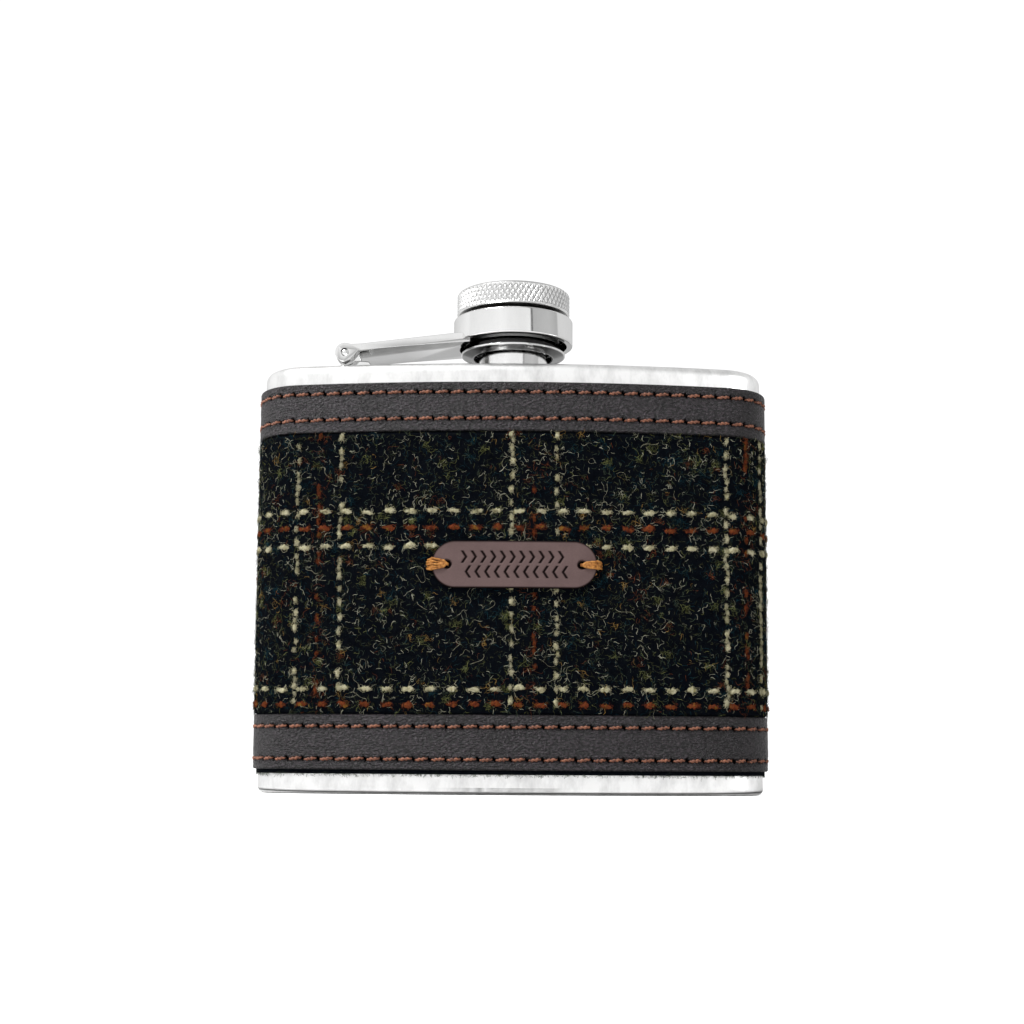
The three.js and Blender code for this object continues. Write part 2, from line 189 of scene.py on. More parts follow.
def leather(name, dark, light, roughness, grain, depth, hollow_shade_share):
    """Fine-grained leather with painted shade in its grain's hollows. The vertex attribute called tone
    darkens its edges, partly as their dye and partly as painted shade, and its tooling, and paints shade in
    its needle holes, creases and back.
    """
    material, tree, shader = surface(name, roughness, specular=0.3)
    place = tree.place()
    grain_place = tree.place((0.7, 0.7, 1.3))
    bend = tree.add("ShaderNodeTexNoise", Vector=grain_place, Scale=grain * 0.7, Detail=2.0).outputs["Color"]
    shifted = tree.add("ShaderNodeVectorMath", {"operation": "MULTIPLY_ADD"})
    tree.put(shifted.inputs[0], bend)
    tree.put(shifted.inputs[1], (0.9 / grain,) * 3)
    tree.put(shifted.inputs[2], grain_place)
    pebble = tree.cells(shifted.outputs[0], grain)
    wrinkle = tree.noise(grain_place, grain * 1.1, 3.0, 0.6)
    pore = tree.noise(place, grain * 2.6, 2.0, 0.6)
    cloud = tree.ramp(tree.noise(place, 0.10, 4.0, 0.6), [(0.35, 0.0), (0.65, 1.0)])
    colour = tree.mix(cloud, dark, light)
    # Painted shade: the hollows between the pebbles are darkened, so the grain shows under even light.
    shaded_hollow = tree.ramp(pebble, [(0.15, 0.0), (0.50, 1.0)])
    speck = tree.mix(tree.math("MULTIPLY", shaded_hollow, hollow_shade_share), colour, darker(dark, 0.8))
    marks_and_shade = tree.tone()
    shine = tree.math("MULTIPLY", tree.math("SUBTRACT", 1.0, marks_and_shade), LEATHER_SHINE)
    worn = tree.math("ADD", tree.math("MULTIPLY", pore, 0.2), roughness - 0.1)
    tree.put(shader.inputs["Specular IOR Level"], shine)
    tree.put(shader.inputs["Roughness"], worn)
    pebbled = tree.bump(pebble, -depth)
    wrinkled = tree.bump(wrinkle, depth * 1.6, pebbled)
    tree.look(shader, tree.mix(marks_and_shade, speck, darker(dark, 0.92)), tree.bump(pore, depth * 0.3, wrinkled))
    return material


def wool(name, colour):
    """Loose wool: dull, with the colour drifting from fibre to fibre."""
    material, tree, shader = surface(name, 0.9, specular=0.03)
    place = tree.place()
    drift = tree.noise(place, 0.9, 3.0, 0.7)
    shade = tree.ramp(drift, [(0.3, darker(colour, WOOL_SPREAD)), (0.7, darker(colour, -WOOL_SPREAD))])
    tree.look(shader, shade, tree.bump(tree.noise(place, 14.0, 2.0), YARN_DEPTH))
    return material


def patchy_wool(name, stops):
    """Check yarn, dyed unevenly: the colour changes every few millimetres and from fibre to fibre."""
    material, tree, shader = surface(name, 0.9, specular=0.05)
    place = tree.place()
    patch = tree.ramp(tree.noise(place, 0.75, 3.0, 0.7), stops)
    fine = tree.ramp(tree.noise(place, 4.5, 3.0, 0.7), [(0.25, 0.45), (0.6, 1.0)])
    colour = tree.mix(1.0, patch, fine, "MULTIPLY")
    tree.look(shader, colour, tree.bump(tree.noise(place, 14.0, 2.0), YARN_DEPTH))
    return material


def thread(name, dark, light):
    """Waxed thread or soft plastic, its colour drifting between two shades."""
    material, tree, shader = surface(name, 0.55, specular=0.3)
    place = tree.place()
    drift = tree.ramp(tree.noise(place, 1.8, 3.0, 0.7), [(0.36, dark), (0.64, light)])
    tree.look(shader, drift, tree.bump(tree.noise(place, 16.0, 2.0, 0.6), YARN_DEPTH))
    return material


def ground_cloth():
    """The tweed's ground: nearly black navy and green yarns with a few coloured specks."""
    material, tree, shader = surface("tweed_ground", 0.95, specular=0.03)
    place = tree.place()
    drift = tree.noise(place, 0.9, 4.0, 0.75)
    yarn = [(0.3, (0.001, 0.0015, 0.003)), (0.55, (0.002, 0.003, 0.005)), (0.8, (0.004, 0.006, 0.006))]
    speck = tree.math("GREATER_THAN", tree.noise(place, 5.0, 2.0, 0.6), 0.68)
    colour = tree.mix(speck, tree.ramp(drift, yarn), (0.018, 0.020, 0.016))
    tree.look(shader, colour, tree.bump(tree.noise(place, 9.0, 3.0, 0.7), 0.06))
    return material


def plain_floor():
    """A pale floor that also glows towards the camera, so that it runs into the backdrop."""
    material, tree, shader = surface("floor", 0.6, specular=0.2)
    soft = tree.noise(tree.place(), 0.01, 2.0)
    tree.put(shader.inputs["Base Color"], tree.mix(soft, (0.80, 0.80, 0.80), (0.84, 0.84, 0.84)))
    shader.inputs["Emission Color"].default_value = (1, 1, 1, 1)
    straight = tree.add("ShaderNodeLightPath").outputs["Is Camera Ray"]
    tree.put(shader.inputs["Emission Strength"], tree.math("MULTIPLY", straight, 0.75))
    return material


FUZZ = {
    "navy": (0.002, 0.003, 0.006),
    "olive": (0.056, 0.058, 0.026),
    "sage": (0.066, 0.086, 0.056),
    "teal": (0.008, 0.034, 0.046),
    "moss": (0.150, 0.160, 0.055),
    "ash": (0.420, 0.415, 0.310),
    "rust": (0.150, 0.045, 0.018),
    "gold": (0.300, 0.180, 0.050),
    "cream": (0.420, 0.400, 0.280),
}

WHITE_WOOL = [
    (0.30, (0.20, 0.18, 0.10)),
    (0.45, (0.44, 0.41, 0.25)),
    (0.58, (0.58, 0.54, 0.38)),
    (0.70, (0.34, 0.31, 0.12)),
]
RUST_WOOL = [
    (0.30, (0.040, 0.016, 0.008)),
    (0.42, (0.130, 0.028, 0.013)),
    (0.49, (0.200, 0.055, 0.016)),
    (0.55, (0.110, 0.022, 0.014)),
    (0.62, (0.200, 0.090, 0.018)),
]

MATERIALS = {
    "floor": plain_floor(),
    "flask_steel": steel(
        "flask_steel", (0.92, 0.92, 0.915), 0.32, 1.1, 0.25, (1.0, 1.0, 0.3), tone=0.95, metal=0.85
    ),
    "neck_steel": steel("neck_steel", (0.97, 0.97, 0.965), 0.12, 1.6, 0.10, (1.0, 1.0, 0.2), 0.04),
    "bright_steel": steel("bright_steel", (0.90, 0.90, 0.895), 0.08, 1.2, 0.05, (0.3, 0.3, 1.0), 0.03, 0.95),
    "cap_steel": steel("cap_steel", (0.86, 0.86, 0.855), 0.30, 1.5, 0.08, tone=0.93),
    "band_leather": leather(
        "band_leather", (0.014, 0.011, 0.013), (0.036, 0.028, 0.034), 0.38, 2.4, 0.30, 0.95
    ),
    "tag_leather": leather(
        "tag_leather", (0.105, 0.066, 0.063), (0.140, 0.090, 0.086), 0.62, 4.5, 0.012, 0.12
    ),
    "band_thread": thread("band_thread", (0.050, 0.016, 0.009), (0.19, 0.070, 0.036)),
    "tag_thread": thread("tag_thread", (0.22, 0.075, 0.014), (0.58, 0.26, 0.06)),
    "seal": thread("seal", (0.74, 0.72, 0.66), (0.80, 0.78, 0.72)),
    "tweed": ground_cloth(),
    "tweed_white": patchy_wool("tweed_white", WHITE_WOOL),
    "tweed_rust": patchy_wool("tweed_rust", RUST_WOOL),
}
for tint, tint_colour in FUZZ.items():
    MATERIALS["fuzz_" + tint] = wool("fuzz_" + tint, tint_colour)


# ---------------------------------------------------------------- camera, lights and floor

CAMERA_AT = (0.27, -279.5, 7.5)
CAMERA_TILT = math.radians(5.72)
CAMERA_ROLL = math.radians(-0.38)
CAMERA_LENS = 54.08
CAMERA_SHIFT_Y = 0.0843

LIGHT_AIM = (0.0, 0.0, 45.0)
KEY_LIGHT_SIZE = 260
SIDE_LIGHT_SIZE = 300
FLOOR_HALF = 3000.0

BACKDROP = 1.1
# The studio walls' brightness by compass turn (0.5 is behind the camera, 0.75 to the right) and by height.
SIDE_LIGHT = [
    (0.0, 0.55),
    (0.12, 0.80),
    (0.22, 0.98),
    (0.236, 0.98),
    (0.242, 0.93),
    (0.38, 0.98),
    (0.43, 1.02),
    (0.48, 0.95),
    (0.54, 0.90),
    (0.592, 0.95),
    (0.596, 0.10),
    (0.602, 0.10),
    (0.606, 0.50),
    (0.70, 0.56),
    (0.76, 0.46),
    (0.766, 0.74),
    (0.90, 0.70),
    (1.0, 0.55),
]
HEIGHT_LIGHT = [
    (0.0, 0.30),
    (0.40, 0.40),
    (0.495, 0.55),
    (0.51, 0.80),
    (0.54, 1.0),
    (0.72, 0.95),
    (1.0, 0.70),
]


def make_camera():
    data = bpy.data.cameras.new("camera")
    data.lens = CAMERA_LENS
    data.shift_y = CAMERA_SHIFT_Y
    data.clip_start = 0.01
    camera = bpy.data.objects.new("camera", data)
    camera.location = [c * MM for c in CAMERA_AT]
    camera.rotation_euler = (math.pi / 2 + CAMERA_TILT, CAMERA_ROLL, 0)
    bpy.context.scene.collection.objects.link(camera)
    bpy.context.scene.camera = camera


def make_world():
    """A bright studio with a grey side to the right, so that polished steel has something to show.

    The backdrop itself is plain white.
    """
    world = bpy.data.worlds.new("studio")
    bpy.context.scene.world = world
    world.use_nodes = True
    tree = Nodes(world.node_tree)
    background = world.node_tree.nodes["Background"]
    place = tree.add("ShaderNodeTexCoord")
    parts = tree.add("ShaderNodeSeparateXYZ", Vector=place.outputs["Generated"])
    angle = tree.math("ARCTAN2", parts.outputs["X"], tree.math("MULTIPLY", parts.outputs["Y"], -1.0))
    turn = tree.math("ADD", tree.math("DIVIDE", angle, TURN), 0.5)
    sides = tree.ramp(turn, SIDE_LIGHT)
    height = tree.math("ADD", tree.math("MULTIPLY", parts.outputs["Z"], 0.5), 0.5)
    rise = tree.ramp(height, HEIGHT_LIGHT)
    studio = tree.mix(1.0, sides, rise, "MULTIPLY")
    straight = tree.add("ShaderNodeLightPath").outputs["Is Camera Ray"]
    tree.put(background.inputs["Color"], tree.mix(straight, studio, (BACKDROP, BACKDROP, BACKDROP)))
    background.inputs["Strength"].default_value = 1.0


def make_light(name, at, size, power):
    """A square soft light that looks at the middle of the flask."""
    data = bpy.data.lights.new(name, "AREA")
    data.shape = "RECTANGLE"
    data.size = data.size_y = size * MM
    data.energy = power
    light = bpy.data.objects.new(name, data)
    light.location = [c * MM for c in at]
    aim = np.array(LIGHT_AIM) - np.array(at)
    flat = math.hypot(aim[0], aim[1])
    light.rotation_euler = (math.atan2(flat, -aim[2]), 0, math.atan2(-aim[0], aim[1]))
    bpy.context.scene.collection.objects.link(light)
    return light


def make_side_light(name, at, power, kinds):
    """A soft light for some of the pieces alone, flagged off the rest as in a studio."""
    light = make_light(name, at, SIDE_LIGHT_SIZE, power)
    lit = bpy.data.collections.new(name)
    for piece in bpy.context.scene.objects:
        if piece.name.startswith(kinds) and piece.type == "MESH":
            lit.objects.link(piece)
    light.light_linking.receiver_collection = lit


def make_floor():
    verts = np.array([[-1, -1, 0], [1, -1, 0], [1, 1, 0], [-1, 1, 0]]) * FLOOR_HALF
    floor = new_object("floor", new_mesh("floor", verts, [np.array([[0, 1, 2, 3]])]), MATERIALS["floor"])


# ---------------------------------------------------------------- meshes


def new_mesh(name, verts, faces):
    """A mesh from points in millimetres and integer arrays of triangles or quads."""
    mesh = bpy.data.meshes.new(name)
    faces = [np.asarray(f, np.int32) for f in faces if len(f)]
    corners = np.concatenate([f.ravel() for f in faces])
    sizes = np.concatenate([np.full(len(f), f.shape[1]) for f in faces])
    starts = np.concatenate([[0], np.cumsum(sizes)[:-1]]).astype(np.int32)
    mesh.vertices.add(len(verts))
    mesh.vertices.foreach_set("co", (np.asarray(verts, float) * MM).astype(np.float32).ravel())
    mesh.loops.add(len(corners))
    mesh.loops.foreach_set("vertex_index", corners)
    mesh.polygons.add(len(sizes))
    mesh.polygons.foreach_set("loop_start", starts)
    mesh.update(calc_edges=True)
    mesh.validate()
    return mesh


def new_object(name, mesh, material, sharp=None):
    """Shows a mesh, smooth except at edges sharper than an angle in degrees."""
    mesh.name = name
    mesh.materials.clear()
    mesh.materials.append(material)
    mesh.shade_smooth()
    if sharp is not None:
        mesh.set_sharp_from_angle(angle=math.radians(sharp))
    piece = bpy.data.objects.new(name, mesh)
    bpy.context.scene.collection.objects.link(piece)
    return piece


def add_piece(name, shape, body, slot, nodes=(), material=None, sharp=None):
    """A piece of the object: it rides on a body, takes a slot's finish and stands for CAD nodes.

    The shape is a finished mesh, or points in millimetres with their faces.
    """
    mesh = new_mesh(name, *shape) if isinstance(shape, tuple) else shape
    piece = new_object(name, mesh, material or MATERIALS[slot], sharp)
    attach(piece, body)
    if nodes:
        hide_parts(*nodes)
    return piece


def set_tone(piece, tone):
    """Writes a number from 0 to 1 for each vertex, which the material reads to darken it: painted shade in
    hollows, gaps and undersides, painted reflection on the base, and dark edges and tooled marks.
    """
    data = piece.data.attributes.new("tone", "FLOAT", "POINT")
    data.data.foreach_set("value", np.asarray(tone, np.float32).ravel())


def vertex_values(piece, key):
    """A vector of every vertex, such as co or normal."""
    values = np.empty(len(piece.data.vertices) * 3, np.float32)
    piece.data.vertices.foreach_get(key, values)
    return values.reshape(-1, 3)


def plan_radius(piece):
    """Each vertex's distance from the neck's axis and its height, in millimetres."""
    co = vertex_values(piece, "co") / MM
    return np.hypot(co[:, 0], co[:, 1]), co[:, 2]


def grid_faces(rows, columns, close_rows=False, close_columns=False):
    """Quads over a grid of rows by columns of points, stored row by row."""
    r = np.arange(rows if close_rows else rows - 1)
    c = np.arange(columns if close_columns else columns - 1)
    r, c = np.meshgrid(r, c, indexing="ij")
    r2, c2 = (r + 1) % rows, (c + 1) % columns
    corners = [r * columns + c, r * columns + c2, r2 * columns + c2, r2 * columns + c]
    return np.stack(corners, -1).reshape(-1, 4)


def end_fans(loop, last_row, first):
    """Triangles from the end points at first and first + 1 to the first and the last row of points."""
    k = np.arange(loop)
    k2 = (k + 1) % loop
    return [
        np.stack([np.full(loop, first), k2, k], -1),
        np.stack([np.full(loop, first + 1), last_row + k, last_row + k2], -1),
    ]


def filleted(points, steps=5):
    """A polyline of (a, b, radius) with each corner rounded by its radius."""
    out = []
    count = len(points)
    for i, (a, b, radius) in enumerate(points):
        here = np.array([a, b], float)
        if radius <= 0:
            out.append(here)
            continue
        before = np.array(points[i - 1][:2], float) - here
        after = np.array(points[(i + 1) % count][:2], float) - here
        before /= np.linalg.norm(before)
        after /= np.linalg.norm(after)
        half = math.acos(np.clip(before @ after, -1, 1)) / 2
        reach = radius / math.tan(half)
        centre = here + (before + after) / np.linalg.norm(before + after) * radius / math.sin(half)
        first, last = here + before * reach - centre, here + after * reach - centre
        sweep = math.pi - 2 * half
        for k in range(steps + 1):
            f = k / steps
            toward = math.sin((1 - f) * sweep) * first + math.sin(f * sweep) * last
            out.append(centre + toward / math.sin(sweep))
    return np.array(out)


def lathe(profile, steps, bump=None, closed=True):
    """A body turned about Z. The profile closes on itself, or starts and ends on the axis."""
    profile = np.asarray(profile, float)
    theta = np.arange(steps) * TURN / steps
    ring_r = np.repeat(profile[:, 0:1], steps, 1)
    ring_z = np.repeat(profile[:, 1:2], steps, 1)
    ring_t = np.repeat(theta[None, :], len(profile), 0)
    if bump is not None:
        ring_r = ring_r + bump(ring_t, ring_z, ring_r)
    verts = np.stack([ring_r * np.cos(ring_t), ring_r * np.sin(ring_t), ring_z], -1).reshape(-1, 3)
    if closed:
        return verts, [grid_faces(len(profile), steps, True, True)]
    ends = np.array([[0, 0, profile[0, 1]], [0, 0, profile[-1, 1]]])
    fans = end_fans(steps, (len(profile) - 1) * steps, len(verts))
    return np.concatenate([verts, ends]), [grid_faces(len(profile), steps, False, True)] + fans


def tubes(paths, side, out, radius, sides, twist=0.0, lobe=0.0):
    """Closed tubes along many paths at once: paths, side and out are (tubes, steps, 3) arrays.

    With a lobe each is two-ply: its section bulges by that share on two sides and turns by the twist.
    """
    many, steps, _ = paths.shape
    angle = np.arange(sides) * TURN / sides
    along = np.linspace(0, 1, steps)
    turned = angle[None, :] + twist * along[:, None]
    swell = 1 + lobe * np.cos(2 * angle[None, :]) * np.ones((steps, 1))
    reach = radius[:, :, None] * swell[None]
    offset = (
        np.cos(turned)[None, :, :, None] * side[:, :, None, :]
        + np.sin(turned)[None, :, :, None] * out[:, :, None, :]
    )
    verts = (paths[:, :, None, :] + reach[..., None] * offset).reshape(-1, 3)
    one = grid_faces(steps, sides, False, True)
    shift = np.arange(many)[:, None, None] * steps * sides
    quads = (one[None] + shift).reshape(-1, 4)
    start = np.array([[0, i + 1, i] for i in range(1, sides - 1)])
    end = start[:, [0, 2, 1]] + (steps - 1) * sides
    lids = (np.concatenate([start, end])[None] + shift).reshape(-1, 3)
    return verts, [quads, lids]


def upward(like):
    """Unit vectors along Z in an array of the same shape."""
    up = np.zeros_like(like)
    up[..., 2] = 1
    return up


def unit(vectors):
    return vectors / np.linalg.norm(vectors, axis=-1, keepdims=True)


# ---------------------------------------------------------------- the flask's plan outline

BAND_LOW, BAND_HIGH = span("leather_band_top")
CORNER_R = 10.0
BACK_HOLLOW = 2.0
HALF_WIDTH = BAND_HIGH[0]
FRONT_Y = BAND_LOW[1]
CORNER_X = HALF_WIDTH - CORNER_R
CORNER_Y = BAND_HIGH[1] - CORNER_R
BACK_Y = BAND_HIGH[1] - BACK_HOLLOW


def bulge_radius(reach):
    """The radius of a long arc that runs into both corner circles and passes reach from their centre line."""
    return abs((CORNER_X**2 + reach**2 - CORNER_R**2) / (2 * (reach - CORNER_R)))


FRONT_R = bulge_radius(CORNER_Y - FRONT_Y)
BACK_R = bulge_radius(BACK_Y - CORNER_Y)
FRONT_HALF = math.asin(CORNER_X / (FRONT_R - CORNER_R))
BACK_HALF = math.asin(CORNER_X / (BACK_R + CORNER_R))
CORNER_TURN = math.pi - FRONT_HALF + BACK_HALF
# The right half, from the middle of the front to the middle of the back.
FRONT_RUN = FRONT_R * FRONT_HALF
CORNER_RUN = CORNER_R * CORNER_TURN
BACK_RUN = BACK_R * BACK_HALF
HALF_ROUND = FRONT_RUN + CORNER_RUN + BACK_RUN
FRONT_STEPS, CORNER_STEPS, BACK_STEPS = 36, 40, 24


def around(s):
    """Plan point and outward normal at a distance s round the leather's face, from the front's middle."""
    s = np.asarray(s, float)
    side = np.where(s < 0, -1.0, 1.0)
    d = np.clip(np.abs(s), 0, HALF_ROUND)
    turn = np.where(
        d < FRONT_RUN,
        d / FRONT_R,
        np.where(
            d < FRONT_RUN + CORNER_RUN,
            FRONT_HALF + (d - FRONT_RUN) / CORNER_R,
            math.pi + BACK_HALF - (d - FRONT_RUN - CORNER_RUN) / BACK_R,
        ),
    )
    normal = np.stack([np.sin(turn), -np.cos(turn)], -1)
    front = np.array([0, FRONT_Y + FRONT_R]) + FRONT_R * normal
    corner = np.array([CORNER_X, CORNER_Y]) + CORNER_R * normal
    back = np.array([0, BACK_Y + BACK_R]) - BACK_R * normal
    on_front, on_corner = (d < FRONT_RUN)[..., None], (d < FRONT_RUN + CORNER_RUN)[..., None]
    point = np.where(on_front, front, np.where(on_corner, corner, back))
    flip = np.stack([side, np.ones_like(side)], -1)
    return point * flip, normal * flip


def on_flask(s, z, out):
    """Points at distance s round the flask and height z, standing out from the leather's face."""
    s, z, out = np.broadcast_arrays(np.asarray(s, float), z, out)
    point, normal = around(s)
    return np.concatenate([point + normal * out[..., None], z[..., None]], -1)


def flask_axes(s):
    """Unit vectors along s and outwards, as arrays of (..., 3)."""
    _, normal = around(s)
    zero = np.zeros(normal.shape[:-1] + (1,))
    out = np.concatenate([normal, zero], -1)
    along = np.concatenate([-normal[..., 1:2], normal[..., 0:1], zero], -1)
    return along, out


def round_stations():
    """Distances round the whole flask, even on each stretch, without a repeated point at the back."""
    front = np.linspace(0, FRONT_RUN, FRONT_STEPS + 1)[1:]
    corner = FRONT_RUN + np.linspace(0, CORNER_RUN, CORNER_STEPS + 1)[1:]
    back = FRONT_RUN + CORNER_RUN + np.linspace(0, BACK_RUN, BACK_STEPS + 1)[1:]
    half = np.concatenate([front, corner, back])
    return np.concatenate([-half[::-1], [0], half[:-1]])


def ring_round(section):
    """A closed ring round the flask from a closed section of (out, z)."""
    s = round_stations()
    verts = on_flask(s[None, :], section[:, 1:2], section[:, 0:1])
    return verts.reshape(-1, 3), [grid_faces(len(section), len(s), True, True)]


def strip_round(s, face, back_z, back_out):
    """A closed strip that stops at both ends, from its face's rows of points and plain rows for its back."""
    sb, zb = np.meshgrid(s, back_z)
    rows = np.concatenate([face, on_flask(sb, zb, back_out)])
    first = np.arange(len(rows)) * len(s)
    ends = [first[None, ::-1], (first + len(s) - 1)[None, :]]
    return rows.reshape(-1, 3), [grid_faces(len(rows), len(s), True, False)] + ends


# ---------------------------------------------------------------- steel shells

WALL_HIGH = span("flask_wall")[1]
TOP_LOW, TOP_HIGH = span("top_plate")
BASE_LOW, BASE_HIGH = span("base_plate")
NECK_LOW, NECK_HIGH = span("neck")
STEEL_OUT = WALL_HIGH[0] - HALF_WIDTH
WALL_T = 0.5
WALL_ROWS = 20
PLATE_T = 0.6
TOP_EDGE = 1.8
BASE_EDGE = 1.2
NECK_FOOT = 0.6
NECK_R = NECK_HIGH[0] - NECK_FOOT
# A dark line painted where the base turns under, as painted reflection of the shaded floor beside it, and a
# darker patch painted at the middle of its front, as painted reflection of the floor.
BASE_REFLECTION_LINE = 0.40
BASE_REFLECTION_WIDTH = 0.20
REFLECTION_PATCH_AT = -1
REFLECTION_PATCH_HALF = 9


def edge_arc(radius, out, z, rise, steps=8):
    """A quarter round from the upright side (out, z) over to the flat, as (out, z) pairs."""
    turn = np.linspace(0, math.pi / 2, steps + 1)
    return np.stack([out - radius + radius * np.cos(turn), z + rise * radius * np.sin(turn)], -1)


def toward_middle(ring, radius, share, z):
    """A ring of points moved a share of the way to a circle round the neck's axis, at height z."""
    flat = ring[:, :2]
    inner = flat / np.linalg.norm(flat, axis=1, keepdims=True) * radius
    plan = flat + (inner - flat) * share
    return np.concatenate([plan, np.full((len(plan), 1), z)], 1)


def pressed_plate(rim_z, flat_z, edge, thickness, hole):
    """A plate with a turned-down rim. With no hole it is closed at the middle."""
    s = round_stations()
    rise = 1.0 if flat_z > rim_z else -1.0
    foot = flat_z - rise * edge
    outer = [(STEEL_OUT, rim_z)] + list(edge_arc(edge, STEEL_OUT, foot, rise, 16))
    inner = [(STEEL_OUT - thickness, rim_z)]
    inner += list(edge_arc(edge - thickness, STEEL_OUT - thickness, foot, rise))
    shares = (0.04, 0.3, 0.6, 0.85, 1.0)

    def skin(profile, z):
        rings = [on_flask(s, height, out) for out, height in profile]
        return rings + [toward_middle(rings[-1], hole, share, z) for share in shares]

    rings = skin(outer, flat_z) + skin(inner, flat_z - rise * thickness)[::-1]
    verts = np.concatenate(rings)
    quads = grid_faces(len(rings), len(s), True, True)
    return verts, [quads if rise > 0 else quads[:, ::-1]]


def make_shells():
    z = np.linspace(BASE_HIGH[2], TOP_LOW[2], WALL_ROWS)
    outer = np.stack([np.full(WALL_ROWS, STEEL_OUT), z], -1)
    inner = np.stack([np.full(WALL_ROWS, STEEL_OUT - WALL_T), z[::-1]], -1)
    section = np.concatenate([outer, inner])
    add_piece("steel_wall", ring_round(section), "flask", "flask_steel", ["flask_wall"], sharp=50)
    top = pressed_plate(TOP_LOW[2], TOP_HIGH[2], TOP_EDGE, PLATE_T, NECK_R + 0.05)
    add_piece("steel_top", top, "flask", "flask_steel", ["top_plate"], sharp=50)
    base = pressed_plate(BASE_HIGH[2], BASE_LOW[2], BASE_EDGE, PLATE_T, 0.05)
    piece = add_piece("steel_base", base, "flask", "flask_steel", ["base_plate"], sharp=50)
    rng = np.random.default_rng(SEED + 3)
    x, _, height = base[0].T
    # Painted reflection: the dark line sits on the turned-under edge and climbs at the corners, and the noisy
    # patch darkens the front's middle.
    line = BASE_REFLECTION_LINE + 0.35 * np.abs(x / HALF_WIDTH) ** 6
    patch = np.exp(-(((x - REFLECTION_PATCH_AT) / REFLECTION_PATCH_HALF) ** 4))
    reflection_patch = patch * (0.40 + 0.35 * smooth_noise(rng, x, height * 0.12, 0.35))
    set_tone(piece, np.maximum(np.exp(-(((height - line) / BASE_REFLECTION_WIDTH) ** 2)), reflection_patch))


# ---------------------------------------------------------------- neck and cap

NECK_BORE = 5.0
THREAD_PITCH = 1.8
THREAD_ROOT = 5.8
THREAD_RISE = 0.72
THREAD_HALF = 0.42
THREAD_LOW = NECK_HIGH[2] - 6.0
THREAD_HIGH = NECK_HIGH[2] - 0.5
CAP_LOW, CAP_HIGH = span("knurled_cap")
FLANGE_LOW, FLANGE_HIGH = span("cap_flange")
SEAL_LOW, SEAL_HIGH = span("cap_seal")
CAP_R = CAP_HIGH[0]
CAP_BORE = 7.1
CAP_SHANK = 8.0
CAP_SPIGOT = 7.75
HEAD_LOW = 87.9
SEAT_Z = 87.5
KNURL_LINES = 66
KNURL_STEPS = 8
KNURL_ROWS = 16
KNURL_DEPTH = 0.28
FLANGE_BORE = 7.3
FLANGE_LIP = 80.45
FLANGE_LEDGE = 81.2


def ridge(theta, z, start):
    """The height of a right-handed screw ridge, from 0 between ridges."""
    turn = (z - start) / THREAD_PITCH - theta / TURN
    off = np.abs((turn + 0.5) % 1.0 - 0.5) * THREAD_PITCH
    return THREAD_RISE * np.clip((THREAD_HALF - off) / (THREAD_HALF * 0.55), 0, 1)


def fade(z, low, high, over):
    """From 0 at low and high to 1 at a distance over inside them."""
    return np.clip((z - low) / over, 0, 1) * np.clip((high - z) / over, 0, 1)


def make_neck():
    bore, root = NECK_BORE, THREAD_ROOT
    threads = [(root, z, 0) for z in np.arange(THREAD_LOW + 0.25, THREAD_HIGH - 0.2, 0.1)]
    top, low, plate = NECK_HIGH[2], NECK_LOW[2], TOP_HIGH[2]
    foot = NECK_R + NECK_FOOT
    profile = [(bore, low, 0.15), (foot, low, 0.15), (foot, low + 1, 0.1), (NECK_R, low + 1, 0)]
    profile += [(NECK_R, plate, 0), (NECK_R + 0.45, plate + 0.02, 0), (NECK_R + 0.14, plate + 0.14, 0)]
    profile += [(NECK_R, plate + 0.35, 0), (NECK_R, plate + 0.45, 0), (NECK_R, THREAD_LOW - 0.6, 0)]
    profile += [(NECK_R, THREAD_LOW - 0.2, 0.1), (root, THREAD_LOW + 0.1, 0.2)]
    profile += threads + [(root, THREAD_HIGH, 0.2), (root - 0.3, top, 0.2), (bore, top, 0.3)]

    def screw(theta, z, r):
        on = (r > root - 0.05) & (z > THREAD_LOW + 0.15) & (z < THREAD_HIGH)
        return np.where(on, ridge(theta, z, 0.0) * fade(z, THREAD_LOW + 0.2, THREAD_HIGH, 0.5), 0)

    shape = lathe(filleted(profile), 128, screw)
    add_piece("neck_tube", shape, "flask", "bright_steel", ["neck"], MATERIALS["neck_steel"], sharp=40)


def knurl(theta, z, low, row):
    """The height of a diamond knurl, from 0 in the grooves to 1 on the points."""
    across = theta * KNURL_LINES / TURN
    along = (z - low) / row / KNURL_STEPS
    one = np.abs((across + along) % 1.0 - 0.5) * 2
    two = np.abs((across - along) % 1.0 - 0.5) * 2
    return np.minimum(1 - one, 1 - two) * 1.5


